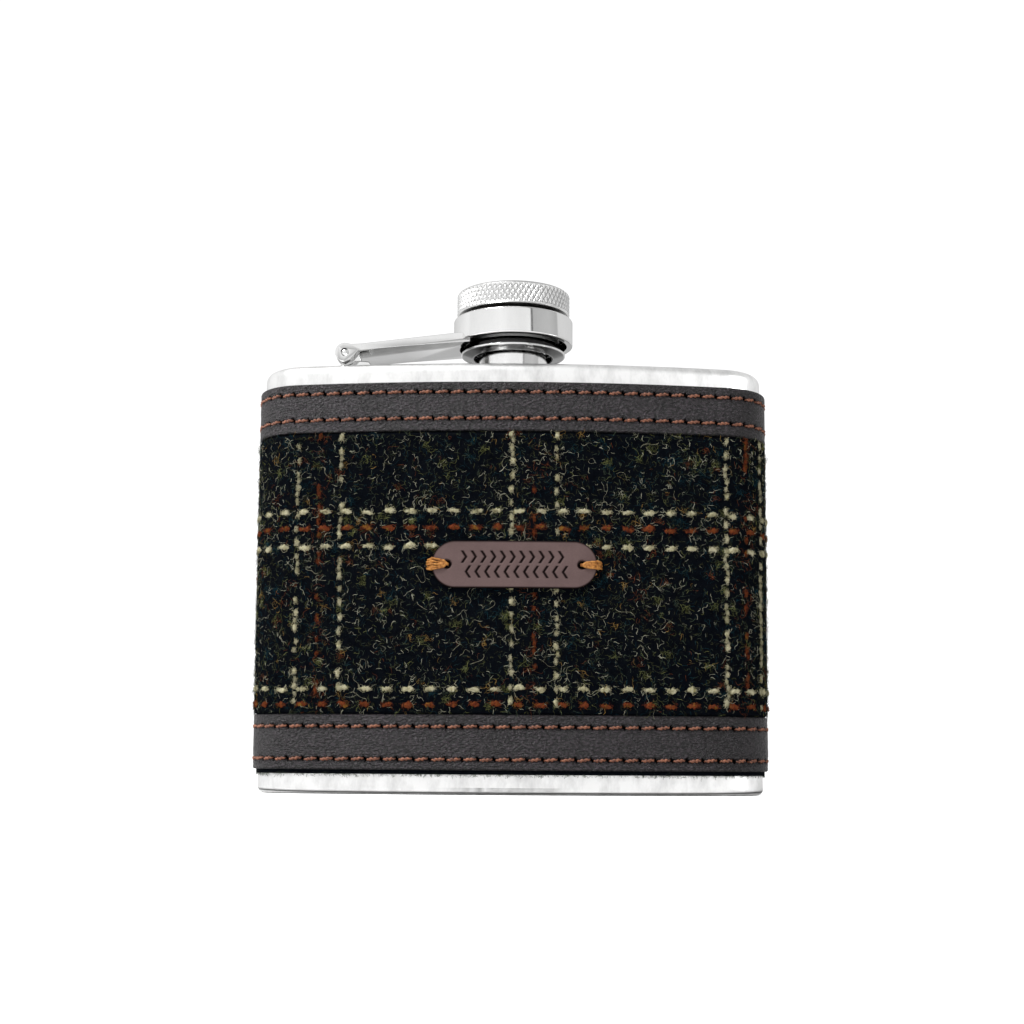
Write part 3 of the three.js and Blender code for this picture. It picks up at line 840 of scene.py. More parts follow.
def make_cap():
    shank, spigot, bore = CAP_SHANK, CAP_SPIGOT, CAP_BORE
    spigot_z, step_z = CAP_LOW[2], FLANGE_HIGH[2] + 0.05
    head_top = CAP_HIGH[2]
    first, last = HEAD_LOW + 0.3, head_top - 0.45
    row = (last - first) / KNURL_ROWS
    rows = [(CAP_R, first + k * row, 0) for k in range(KNURL_ROWS + 1)]
    thread_low, thread_high = spigot_z + 0.4, SEAT_Z - 1.2
    threads = [(bore, z, 0) for z in np.arange(thread_high, thread_low, -0.1)[::-1]]
    inside = [(0.0, SEAT_Z, 0), (bore, SEAT_Z, 0.1)] + threads[::-1] + [(bore, spigot_z, 0.1)]
    outside = [(spigot, spigot_z, 0.1), (spigot, step_z, 0), (shank, step_z, 0.1), (shank, HEAD_LOW - 1.1, 0)]
    outside += [(shank, HEAD_LOW - 1.0, 0), (shank, HEAD_LOW, 0.15)]
    outside += [(CAP_R - 0.3, HEAD_LOW, 0.1)] + rows
    outside += [(CAP_R - 0.18, head_top - 0.2, 0.0), (CAP_R - 0.5, head_top, 0.12)]
    dish = head_top - 0.12
    outside += [(CAP_R - 1.1, head_top, 0.05), (CAP_R - 1.3, dish, 0.05), (0.0, dish, 0)]

    def shape(theta, z, r):
        on_knurl = (r > CAP_R - 0.01) & (z > first - 0.01) & (z < last + 0.01)
        edge = fade(z, first - 0.02, last + 0.02, row)
        cut = (knurl(theta, z, first, row).clip(0, 1) - 1) * KNURL_DEPTH * edge - 0.03
        on_thread = (np.abs(r - bore) < 0.02) & (z > thread_low) & (z < thread_high)
        inner = -ridge(theta, z, THREAD_PITCH / 2) * fade(z, thread_low, thread_high, 0.4)
        return np.where(on_knurl, cut, np.where(on_thread, inner, 0))

    turned = lathe(filleted(inside + outside)[1:-1], KNURL_LINES * KNURL_STEPS, shape, closed=False)
    piece = add_piece("cap_body", turned, "cap", "cap_steel", ["knurled_cap"], sharp=38)
    radius, height = plan_radius(piece)
    # Painted shade: the bore and the shank in the gap under the head are painted fully dark, and the knurl's
    # grooves a little.
    bore_side = (height < SEAT_Z + 0.05) & (radius < bore + 0.05)
    under_head = (height > HEAD_LOW - 1.05) & (height < HEAD_LOW + 0.05) & (radius < CAP_R - 0.5)
    knurl_groove_shade = np.clip((CAP_R - 0.12 - radius) / 0.22, 0, 1) * 0.32
    grooves = np.where((height > first) & (height < last), knurl_groove_shade, 0)
    set_tone(piece, np.where(bore_side | under_head, 1.0, grooves))


def make_flange():
    top, low = FLANGE_HIGH[2], FLANGE_LOW[2]
    radius = FLANGE_HIGH[0]
    lip, ledge, bore = FLANGE_LIP, FLANGE_LEDGE, FLANGE_BORE
    spigot, step = CAP_SPIGOT + 0.05, CAP_SHANK + 0.7
    profile = [(spigot, top, 0.05), (step, top, 0.15), (step, lip + 0.42, 0.25), (radius, lip + 0.32, 0.1)]
    profile += [(radius, lip, 0.12), (radius - 0.3, lip - 0.04, 0.05)]
    profile += [(bore + 0.35, low, 0.2), (bore, low, 0.1), (bore, ledge, 0.05), (spigot, ledge, 0.05)]
    turned = lathe(filleted(profile), 160)
    piece = add_piece("flange_ring", turned, "cap", "bright_steel", ["cap_flange"], sharp=40)
    reach, height = plan_radius(piece)
    # Painted shade: the flange's upper part inside the collar is painted fully dark, and its underside nearly
    # so.
    under = (height < lip) & (reach < radius - 0.25)
    set_tone(piece, np.where(height > lip + 0.30, 1.0, np.where(under, 0.88, 0.0)))


def make_seal():
    low, high, radius = SEAL_LOW[2], SEAL_HIGH[2], SEAL_HIGH[0]
    profile = [(0.0, low + 0.1, 0), (4.6, low + 0.1, 0), (4.9, low, 0.05), (6.5, low, 0.1)]
    profile += [(6.6, low + 0.15, 0), (radius, low + 0.2, 0.1), (radius, high, 0.1), (0.0, high, 0)]
    turned = lathe(filleted(profile), 96, closed=False)
    add_piece("seal_disc", turned, "seal", "seal", ["cap_seal"], sharp=40)


# ---------------------------------------------------------------- collar, arm and hinge

ARM_HIGH = span("collar_arm")[1]
PIN_LOW, PIN_HIGH = span("hinge_pin")
HINGE = (PIN_LOW[[0, 2]] + PIN_HIGH[[0, 2]]) / 2
ARM_HALF = round(PIN_HIGH[1], 3)
ARM_BEVEL = 0.15
ARM_STEPS = 192
KNUCKLE_R = 1.75
KNUCKLE_HALF = 2.6
EAR_INNER = 2.9
PIN_R = (PIN_HIGH[2] - PIN_LOW[2]) / 2
COLLAR_R = ARM_HIGH[0]
COLLAR_TOP = ARM_HIGH[2]
COLLAR_LOW = COLLAR_TOP - 4.75
RECESS_R = 9.9
COLLAR_HOLE = 8.4


def offset_inwards(points, distance):
    """A polygon of (x, z) points moved inwards, corner by corner. The points run anticlockwise."""
    before = points - np.roll(points, 1, 0)
    after = np.roll(points, -1, 0) - points
    before /= np.linalg.norm(before, axis=1, keepdims=True)
    after /= np.linalg.norm(after, axis=1, keepdims=True)
    left_before = np.stack([-before[:, 1], before[:, 0]], -1)
    left_after = np.stack([-after[:, 1], after[:, 0]], -1)
    mitre = left_before + left_after
    mitre /= (mitre * left_after).sum(1, keepdims=True)
    return points + mitre * distance


def bar_along_y(points, low, high, bevel=0.25, steps=4):
    """A bar with the given (x, z) side profile and rounded end edges."""
    points = np.asarray(points, float)
    area = (points[:, 0] * np.roll(points[:, 1], -1) - np.roll(points[:, 0], -1) * points[:, 1]).sum()
    if area < 0:
        points = points[::-1]
    rings = []
    for k in range(steps + 1):
        turn = k / steps * math.pi / 2
        rings.append((bevel * (1 - math.sin(turn)), low + bevel * (1 - math.cos(turn))))
    rings += [(inset, low + high - y) for inset, y in rings[::-1]]
    verts = []
    for inset, y in rings:
        flat = offset_inwards(points, inset)
        verts.append(np.stack([flat[:, 0], np.full(len(flat), y), flat[:, 1]], -1))
    count = len(points)
    start = (len(rings) - 1) * count
    lids = [np.arange(count)[None, :], (start + np.arange(count))[::-1][None, :]]
    faces = [grid_faces(len(rings), count, False, True)] + lids
    return np.concatenate(verts), [f[:, ::-1] for f in faces]


def circle_about(x, z, radius, steps):
    turn = np.arange(steps) * TURN / steps
    return np.stack([x + radius * np.cos(turn), z + radius * np.sin(turn)], -1)


def temporary(name, shape):
    verts, faces = shape
    tool = bpy.data.objects.new(name, new_mesh(name, verts, faces))
    bpy.context.scene.collection.objects.link(tool)
    return tool


def combine(name, first, steps):
    """First with other shapes added (UNION) or cut away (DIFFERENCE), as a new mesh."""
    base = temporary(name, first)
    tools = []
    for operation, shape in steps:
        tool = temporary(name + "_tool", shape)
        tools.append(tool)
        change = base.modifiers.new("change", "BOOLEAN")
        change.operation = operation
        change.object = tool
        change.solver = "EXACT"
    graph = bpy.context.evaluated_depsgraph_get()
    mesh = bpy.data.meshes.new_from_object(base.evaluated_get(graph))
    for spare in tools + [base]:
        data = spare.data
        bpy.data.objects.remove(spare)
        bpy.data.meshes.remove(data)
    mesh.validate()
    return mesh


def along_y(shape):
    """Turns a shape made about Z so that its axis runs along Y through the hinge."""
    verts, faces = shape
    x, y, z = verts.T
    return np.stack([HINGE[0] + x, z, HINGE[1] - y], -1), faces


def make_arm():
    web = COLLAR_TOP - 1.0
    ring = lathe(
        filleted(
            [
                (RECESS_R, COLLAR_LOW, 0.12), (COLLAR_R, COLLAR_LOW, 0.3), (COLLAR_R, COLLAR_TOP, 0.35),
                (COLLAR_HOLE, COLLAR_TOP, 0.15), (COLLAR_HOLE, web, 0.1), (RECESS_R, web, 0.2),
            ],
            6,
        ),
        ARM_STEPS,
    )
    hx, hz = HINGE
    side = filleted(
        [
            (hx + 2.2, 79.95, 0.2), (-20, 80.8, 6), (-9.3, 81.65, 0), (-7.5, 81.8, 0),
            (-7.5, 83.8, 0), (-9, 83.6, 0), (-20, 82.25, 6), (hx + 2.2, 81.2, 0),
        ],
        6,
    )
    bar = bar_along_y(side, -ARM_HALF, ARM_HALF, ARM_BEVEL)
    under = COLLAR_LOW - 3
    recess = lathe([(0.01, under), (RECESS_R, under), (RECESS_R, web), (0.01, web)], ARM_STEPS)
    ear_side = [(hx, hz - KNUCKLE_R), (hx + 1.0, hz - 1.35), (hx + 2.4, 79.97), (hx + 3.2, 80.07)]
    ear_side += [(hx + 3.2, 81.30), (hx + 1.1, 81.20), (hx, hz + KNUCKLE_R)]
    turn = np.linspace(math.pi / 2, 3 * math.pi / 2, 25)[1:-1]
    ear_side += [(hx + KNUCKLE_R * math.cos(a), hz + KNUCKLE_R * math.sin(a)) for a in turn]
    face = ARM_HALF + 0.02
    left = bar_along_y(ear_side, -face, -EAR_INNER, ARM_BEVEL)
    right = bar_along_y(ear_side, EAR_INNER, face, ARM_BEVEL)
    hole = bar_along_y(circle_about(hx, hz, PIN_R + 0.12, 32), -ARM_HALF - 1, ARM_HALF + 1, 0.0, 1)
    steps = [("DIFFERENCE", recess), ("UNION", ring), ("UNION", left), ("UNION", right), ("DIFFERENCE", hole)]
    mesh = combine("arm", bar, steps)
    piece = add_piece("collar_and_arm", mesh, "arm", "bright_steel", ["collar_arm"], sharp=20)
    radius, height = plan_radius(piece)
    # Painted shade: the collar's recess is painted dark, the rim under the collar less so, and the arm's
    # downward faces a little.
    shaded_hollow = (radius < RECESS_R + 0.15) & (height > COLLAR_LOW + 0.3)
    facing_down = vertex_values(piece, "normal")[:, 2] < -0.6
    rim = facing_down & (radius < COLLAR_R - 0.1) & (height < COLLAR_LOW + 0.1)
    tone = np.where(facing_down & (radius > COLLAR_R), 0.45, 0.0)
    set_tone(piece, np.where(shaded_hollow, 0.96, np.where(rim, 0.6, tone)))


def make_bracket():
    hx, hz = HINGE
    base = TOP_HIGH[2] + 0.05
    foot = filleted(
        [
            (hx - 1.7, base, 0.1), (hx + 5.2, base, 0.15), (hx + 4.1, base + 1.45, 0.3),
            (hx + 1.2, base + 1.65, 0), (hx - 0.4, base + 1.65, 0),
        ],
        4,
    )
    body = bar_along_y(foot, -KNUCKLE_HALF, KNUCKLE_HALF, 0.2)
    knuckle = bar_along_y(circle_about(hx, hz, KNUCKLE_R, 48), -KNUCKLE_HALF, KNUCKLE_HALF, ARM_BEVEL)
    hole = bar_along_y(circle_about(hx, hz, PIN_R + 0.03, 32), -ARM_HALF, ARM_HALF, 0.0, 1)
    mesh = combine("bracket", body, [("UNION", knuckle), ("DIFFERENCE", hole)])
    add_piece("hinge_foot", mesh, "flask", "bright_steel", ["hinge_bracket"], sharp=20)


def make_pin():
    half = ARM_HALF
    profile = [(0.0, -half + 0.02, 0), (PIN_R * 0.55, -half + 0.03, 0), (PIN_R, -half + 0.25, 0.08)]
    profile += [(PIN_R, half - 0.25, 0.08), (PIN_R * 0.55, half - 0.03, 0), (0.0, half - 0.02, 0)]
    shape = along_y(lathe(filleted(profile), 40, closed=False))
    add_piece("hinge_rod", shape, "flask", "bright_steel", ["hinge_pin"], sharp=40)


# ---------------------------------------------------------------- tweed

CLOTH_LOW, CLOTH_HIGH = span("tweed_wrap")
TOP_BAND = (BAND_LOW[2], BAND_HIGH[2])
BOTTOM_LOW, BOTTOM_HIGH = span("leather_band_bottom")
BOTTOM_BAND = (BOTTOM_LOW[2], BOTTOM_HIGH[2])
LEATHER_T = 0.55
CLOTH_FACE = -0.10
CLOTH_UNDER = -0.60
CLOTH_BACK = STEEL_OUT + 0.05
SEAM = 0.04
WARP_PITCH = 0.965
WEFT_PITCH = 0.63
RELIEF = 0.16

# The over-check: groups of three stripes, white, rust and white.
STRIPES = (("white", 0.0), ("rust", 3.96), ("white", 7.92))
STRIPE_REPEAT = 38.6
ROWS = (("white", 50.0), ("rust", 47.06), ("white", 43.76), ("white", 18.54), ("rust", 15.74))
DASH_PITCH = 3.86
DASH_START = -2.6
SPOT_PITCH = 2.5

# How many fibres there are: loose, beside the rust stripes, long hairs, on each float and at the low edge.
LOOSE_FIBRES = 11000
BESIDE_RUST = 420
HAIRS = 220
FLUFF_EACH = 24
FRINGE = 1500


def weave(s, z):
    """The height of a two-and-two twill, from about -1 between yarns to 1 on top of them."""
    u, v = s / WARP_PITCH, z / WEFT_PITCH
    warp, weft = np.round(u), np.round(v)
    warp_round = np.sqrt(np.clip(1 - (2 * (u - warp)) ** 2 * 0.95, 0, 1))
    weft_round = np.sqrt(np.clip(1 - (2 * (v - weft)) ** 2 * 0.95, 0, 1))
    warp_up = np.cos(TURN * (v + warp - 0.5) / 4)
    weft_up = -np.cos(TURN * (u + weft - 0.5) / 4)
    return np.maximum(warp_round + 0.7 * warp_up, weft_round + 0.7 * weft_up) - 0.9


def smooth_noise(rng, s, z, cell):
    """Smooth random values from -1 to 1 over the cloth, with features about cell across."""
    s0, z0 = s.min() - cell, z.min() - cell
    table = rng.uniform(-1, 1, (int((s.max() - s0) / cell) + 4, int((z.max() - z0) / cell) + 4))
    u, v = (s - s0) / cell, (z - z0) / cell
    i, j = np.floor(u).astype(int), np.floor(v).astype(int)
    fu, fv = u - i, v - j
    fu, fv = fu * fu * (3 - 2 * fu), fv * fv * (3 - 2 * fv)
    top = table[i, j] * (1 - fu) + table[i + 1, j] * fu
    low = table[i, j + 1] * (1 - fu) + table[i + 1, j + 1] * fu
    return top * (1 - fv) + low * fv


def cloth_out(z):
    """How far the tweed's face stands from the leather's face: it dives under both bands."""
    low = np.clip((z - BOTTOM_BAND[1]) / 0.8 + 0.2, 0, 1)
    high = np.clip((TOP_BAND[0] - z) / 0.8 + 0.2, 0, 1)
    up = low * high
    up = up * up * (3 - 2 * up)
    return CLOTH_UNDER + (CLOTH_FACE - CLOTH_UNDER) * up


def make_cloth(rng):
    half = HALF_ROUND - SEAM
    s = np.linspace(-half, half, 810)
    fine = np.arange(BOTTOM_BAND[1] - 0.4, TOP_BAND[0] + 0.4, 0.19)
    below = np.linspace(CLOTH_LOW[2], fine[0] - 0.3, 24)
    above = np.linspace(fine[-1] + 0.3, CLOTH_HIGH[2], 20)
    z = np.concatenate([below, fine, above])
    sg, zg = np.meshgrid(s, z)
    face = cloth_out(zg)
    share = (face - CLOTH_UNDER) / (CLOTH_FACE - CLOTH_UNDER)
    rough = smooth_noise(rng, sg, zg, 0.8) * 0.05 + smooth_noise(rng, sg, zg, 4.0) * 0.04
    drift = 0.12 * smooth_noise(rng, sg, zg, 2.0)
    lift = (RELIEF * 0.5 * weave(sg + drift, zg) + rough) * share
    back_z = np.linspace(CLOTH_HIGH[2], CLOTH_LOW[2], 12)
    shape = strip_round(s, on_flask(sg, zg, face + lift), back_z, CLOTH_BACK)
    return add_piece("tweed_cloth", shape, "flask", "tweed", ["tweed_wrap"])


def stripe_places():
    """Each vertical stripe's colour and its distance round the flask."""
    out = []
    for group in range(-3, 3):
        for colour, offset in STRIPES:
            s = group * STRIPE_REPEAT + offset
            if abs(s) < HALF_ROUND - 1.5:
                out.append((colour, s))
    return out


def yarn_floats(rng):
    """The raised floats of the over-check, as rows of (s, z, half length, half width, upright) by colour."""
    floats = {"white": [], "rust": []}
    low, high = BOTTOM_BAND[1], TOP_BAND[0]
    for colour, s in stripe_places():
        z = low - 0.6 + rng.uniform(0, 0.6)
        while z < high + 0.4:
            big = rng.uniform() < 0.55
            half = rng.uniform(0.5, 0.68) if big else rng.uniform(0.3, 0.42)
            width = rng.uniform(0.28, 0.40) if big else rng.uniform(0.16, 0.25)
            keep = 0.88
            if colour == "rust":
                half, width, keep = rng.uniform(0.35, 0.75), rng.uniform(0.16, 0.26), 0.42
            if rng.uniform() < keep:
                floats[colour].append((s + rng.normal(0, 0.08), z, half, width, 1))
            if rng.uniform() < 0.3:
                floats[colour].append((s + rng.normal(0, 0.14), z + SPOT_PITCH / 2, 0.26, 0.12, 1))
            z += SPOT_PITCH * rng.uniform(0.92, 1.08)
    for colour, z in ROWS:
        count = int(HALF_ROUND / DASH_PITCH)
        for k in range(-count - 1, count + 2):
            s = DASH_START + k * DASH_PITCH
            if abs(s) > HALF_ROUND - 1.3:
                continue
            half = rng.uniform(0.78, 1.12)
            width = rng.uniform(0.32, 0.48)
            floats[colour].append((s + rng.normal(0, 0.1), z + rng.normal(0, 0.1), half, width, 0))
    return {colour: np.array(rows) for colour, rows in floats.items()}


def float_shapes(rng, rows):
    """Fat two-ply yarn floats lying on the cloth."""
    steps = 13
    t = np.linspace(-1, 1, steps)
    s, z, half, width, upright = (rows[:, k : k + 1] for k in range(5))
    tilt = rng.normal(0, 0.13, (len(rows), 1))
    bow = rng.normal(0, 0.08, (len(rows), 1)) * (1 - t**2)
    run, cross = t * half, t * half * tilt + bow
    ds = np.where(upright > 0.5, cross, run)
    dz = np.where(upright > 0.5, run, cross)
    out = CLOTH_FACE - 0.04 + 0.14 * (1 - t**2)
    paths = on_flask(s + ds, z + dz, out + 0 * ds)
    along, outward = flask_axes(s + ds)
    side = np.where(upright[..., None] > 0.5, along, upward(along))
    swell = np.clip(1 - np.abs(t) ** 3.0, 0.05, 1) ** 0.6
    wobble = 1 + 0.24 * rng.normal(0, 1, (len(rows), steps))
    radius = width * swell * np.clip(wobble, 0.5, 1.5)
    return tubes(paths, side, outward * 0.55, radius, 12, twist=-5.0, lobe=0.16)


def fibre_paths(rng, s, z, heading, length, curl, wave, lift, steps, base, trimmed=True):
    """Curly fibres on the cloth: each starts at (s, z) and wanders off along heading."""
    many = len(s)
    t = np.linspace(0, 1, steps)
    bend = rng.normal(0, 1, (many, 1)) * curl
    phase = rng.uniform(0, TURN, (many, 1))
    pace = rng.uniform(0.6, 1.6, (many, 1)) * TURN
    angle = heading[:, None] + bend * (t - 0.5) * 2 + wave * np.sin(phase + pace * t)
    step = length[:, None] / (steps - 1)
    ds = np.cumsum(np.cos(angle) * step, 1)
    dz = np.cumsum(np.sin(angle) * step, 1)
    ps = s[:, None] + ds - ds.mean(1, keepdims=True)
    pz = z[:, None] + dz - dz.mean(1, keepdims=True)
    rise = np.sin(math.pi * t) * lift[:, None] + rng.normal(0, 0.03, (many, steps))
    ps = np.clip(ps, -HALF_ROUND + SEAM, HALF_ROUND - SEAM)
    out = base + np.clip(rise, 0.02, None)
    over = (pz < BOTTOM_BAND[1]) | (pz > TOP_BAND[0])
    if trimmed:
        out = np.where(over, np.maximum(out, 0.06), out)
    paths = on_flask(ps, pz, out)
    along, outward = flask_axes(ps)
    side = -np.sin(angle)[..., None] * along + np.cos(angle)[..., None] * upward(along)
    return paths, side, outward


def float_tops(rng, each):
    """Short fibres on top of every float of the ground weave, as (s, z, heading) along its yarn."""
    low, high = BOTTOM_BAND[1], TOP_BAND[0]
    warps = np.arange(-int(HALF_ROUND / WARP_PITCH), int(HALF_ROUND / WARP_PITCH) + 1)
    wefts = np.arange(int(low / WEFT_PITCH), int(high / WEFT_PITCH) + 1)
    fours = np.arange(-80, 80) * 4
    warp, k = np.meshgrid(warps, fours)
    upright = np.stack([warp * WARP_PITCH, (0.5 - warp + k) * WEFT_PITCH, 0 * k + 1], -1)
    weft, k = np.meshgrid(wefts, fours)
    level = np.stack([(2.5 - weft + k) * WARP_PITCH, weft * WEFT_PITCH, 0 * k], -1)
    cells = np.concatenate([upright.reshape(-1, 3), level.reshape(-1, 3)])
    keep = (np.abs(cells[:, 0]) < HALF_ROUND - 0.6) & (cells[:, 1] > low + 0.2) & (cells[:, 1] < high - 0.2)
    cells = np.repeat(cells[keep], each, 0)
    many = len(cells)
    on_warp = cells[:, 2] > 0.5
    run, cross = rng.uniform(-0.55, 0.55, many), rng.normal(0, 0.16, many)
    s = cells[:, 0] + np.where(on_warp, cross, run * 1.4)
    z = cells[:, 1] + np.where(on_warp, run, cross)
    heading = np.where(on_warp, math.pi / 2, 0) + rng.normal(0, 0.45, many)
    return s, z, heading


# The share of each tint among the fibres, from a dark patch of cloth to a light one.
TINT_SHARES = {
    "navy": (0.70, 0.42),
    "olive": (0.09, 0.22),
    "sage": (0.08, 0.18),
    "teal": (0.14, 0.06),
    "moss": (0.01, 0.06),
    "ash": (0.045, 0.16),
    "rust": (0.012, 0.012),
    "gold": (0.005, 0.010),
}


def deal_tints(rng, s, z):
    """Picks a tint for each fibre. Patches of cloth differ, and so do small tufts."""
    patch = 0.5 + 0.42 * smooth_noise(rng, s, z, 5.0) + 0.35 * smooth_noise(rng, s, z, 1.5)
    patch = np.clip(patch, 0, 1)[:, None]
    dark = np.array([share[0] for share in TINT_SHARES.values()])
    light = np.array([share[1] for share in TINT_SHARES.values()])
    shares = dark * (1 - patch) + light * patch
    edges = np.cumsum(shares / shares.sum(1, keepdims=True), 1)
    return (rng.uniform(0, 1, (len(s), 1)) > edges).sum(1).clip(0, len(TINT_SHARES) - 1)


def add_fibres(rng, name, material, radii, route, sides=3, trimmed=True):
    """A piece of loose fibres from the arguments of fibre_paths and the range of their radii."""
    paths = fibre_paths(rng, *route, trimmed)
    radius = rng.uniform(*radii, len(route[0]))
    shape = tubes(*paths, radius[:, None], sides)
    return add_piece(name, shape, "flask", "tweed", material=MATERIALS[material])


def merged(*places):
    """Several (s, z) pairs of arrays as one."""
    return tuple(np.concatenate(pair) for pair in zip(*places))


def make_fuzz(rng, floats):
    """The wool's loose fibres, one piece for each tint."""
    half, low, high = HALF_ROUND - 0.5, BOTTOM_BAND[1] + 0.1, TOP_BAND[0] - 0.1
    made = []
    quiet = 1.0

    def spread(count):
        count = int(count * quiet)
        return rng.uniform(-half, half, count), rng.uniform(low, high, count)

    def clustered(clusters, each, size):
        cs, cz = rng.uniform(-half, half, clusters), rng.uniform(low, high, clusters)
        reach = rng.uniform(0.4, 1.0, clusters) * size
        pick = np.repeat(np.arange(clusters), each)
        s = cs[pick] + rng.normal(0, 1, len(pick)) * reach[pick]
        z = cz[pick] + rng.normal(0, 1, len(pick)) * reach[pick] * 0.7
        keep = (np.abs(s) < half) & (z > low) & (z < high)
        return s[keep], z[keep]

    top_s, top_z, top_heading = float_tops(rng, 3)
    loose_s, loose_z = spread(LOOSE_FIBRES)
    s, z = merged((top_s, top_z), (loose_s, loose_z))
    loose = np.arange(len(s)) >= len(top_s)
    heading = np.concatenate([top_heading, rng.uniform(0, TURN, len(loose_s))])
    tints = deal_tints(rng, s, z)
    rust_lines = np.array([place for colour, place in stripe_places() if colour == "rust"])
    beside = rng.choice(rust_lines, BESIDE_RUST) + rng.normal(0, 1.0, BESIDE_RUST)
    extra = {
        "teal": clustered(160, 10, 1.1),
        "moss": clustered(150, 9, 0.7),
        "rust": merged(clustered(90, 6, 0.8), (beside, rng.uniform(low, high, len(beside)))),
        "gold": clustered(60, 5, 0.5),
    }
    for index, tint in enumerate(TINT_SHARES):
        mine = tints == index
        short, long = mine & ~loose, mine & loose
        more_s, more_z = extra.get(tint, (np.zeros(0), np.zeros(0)))
        curly_s, curly_z = merged((s[long], z[long]), (more_s, more_z))
        many = int(short.sum())
        flat = (
            s[short], z[short], heading[short], rng.uniform(0.6, 1.3, many), 0.7, 0.5,
            rng.gamma(2.0, 0.05, many).clip(0.02, 0.3), 6, CLOTH_FACE + 0.02,
        )
        made.append(add_fibres(rng, "tweed_nap_" + tint, "fuzz_" + tint, (0.020, 0.038), flat))
        many = len(curly_s)
        curly = (
            curly_s, curly_z, rng.uniform(0, TURN, many), rng.uniform(1.0, 2.5, many), 1.6, 0.8,
            rng.gamma(2.0, 0.1, many).clip(0.05, 0.6), 9, CLOTH_FACE + 0.03,
        )
        made.append(add_fibres(rng, "tweed_curls_" + tint, "fuzz_" + tint, (0.015, 0.028), curly))
    many = int(HAIRS * quiet)
    hairs = (
        rng.uniform(-half, half, many), rng.uniform(low + 1, high - 1, many), rng.uniform(0, TURN, many),
        rng.uniform(2.0, 4.4, many), 1.5, 0.7, rng.uniform(0.2, 0.6, many), 16, CLOTH_FACE + 0.03,
    )
    made.append(add_fibres(rng, "tweed_hairs", "fuzz_cream", (0.012, 0.021), hairs, 4))
    for colour, rows in floats.items():
        pick = np.repeat(np.arange(len(rows)), FLUFF_EACH)
        s0, z0, half_l, width, upright = (rows[pick, k] for k in range(5))
        run = rng.uniform(-1.1, 1.1, len(pick)) * half_l
        cross = rng.normal(0, 0.62, len(pick)) * width
        s = s0 + np.where(upright > 0.5, cross, run)
        z = z0 + np.where(upright > 0.5, run, cross)
        heading = np.where(upright > 0.5, math.pi / 2, 0) + rng.normal(0, 0.7, len(pick))
        keep = (z > low + 0.1) & (z < high - 0.1) & (np.abs(s) < half)
        s, z, heading = s[keep], z[keep], heading[keep]
        many = len(s)
        fluff = (
            s, z, heading, rng.uniform(0.5, 1.3, many), 1.3, 0.7, rng.uniform(0.1, 0.38, many), 7,
            CLOTH_FACE + 0.06,
        )
        made.append(add_fibres(rng, "tweed_fluff_" + colour, "tweed_" + colour, (0.018, 0.036), fluff))
    many = int(FRINGE * quiet)
    fringe = (
        rng.uniform(-half, half, many), CLOTH_LOW[2] + rng.normal(0.05, 0.18, many),
        rng.normal(-math.pi / 2, 0.8, many), rng.uniform(0.5, 1.3, many), 1.5, 0.7,
        rng.uniform(0.02, 0.12, many), 7, CLOTH_UNDER - 0.12,
    )
    made.append(add_fibres(rng, "tweed_fringe", "fuzz_sage", (0.018, 0.032), fringe, trimmed=False))
    return made


def make_tweed():
    rng = np.random.default_rng(SEED)
    cloth = make_cloth(rng)
    floats = yarn_floats(rng)
    low, high = BOTTOM_BAND[1], TOP_BAND[0]
    parts = []
    for colour, rows in floats.items():
        reach = np.where(rows[:, 4] > 0.5, rows[:, 2], rows[:, 3])
        keep = (rows[:, 1] - reach > low - 0.1) & (rows[:, 1] + reach < high + 0.1)
        floats[colour] = rows[keep]
        shape = float_shapes(rng, rows[keep])
        yarn = MATERIALS["tweed_" + colour]
        parts.append(add_piece("tweed_check_" + colour, shape, "flask", "tweed", material=yarn))
    parts += make_fuzz(rng, floats)


# ---------------------------------------------------------------- leather bands and their stitches

STITCH_PITCH = 2.84
STITCH_HALF = 1.18
# How far each end of a stitch stands above or below its row.
STITCH_TILT = 0.13
STITCH_ROWS = ("top_upper", "top_lower", "bottom_upper", "bottom_lower")


def stitch_height(row):
    low, high = span("stitch_row_" + row)
    return (low[2] + high[2]) / 2


def stitch_places():
    """The middle of each stitch round the flask."""
    count = int((HALF_ROUND - SEAM - 0.4) * 2 / STITCH_PITCH)
    return (np.arange(count) - (count - 1) / 2) * STITCH_PITCH


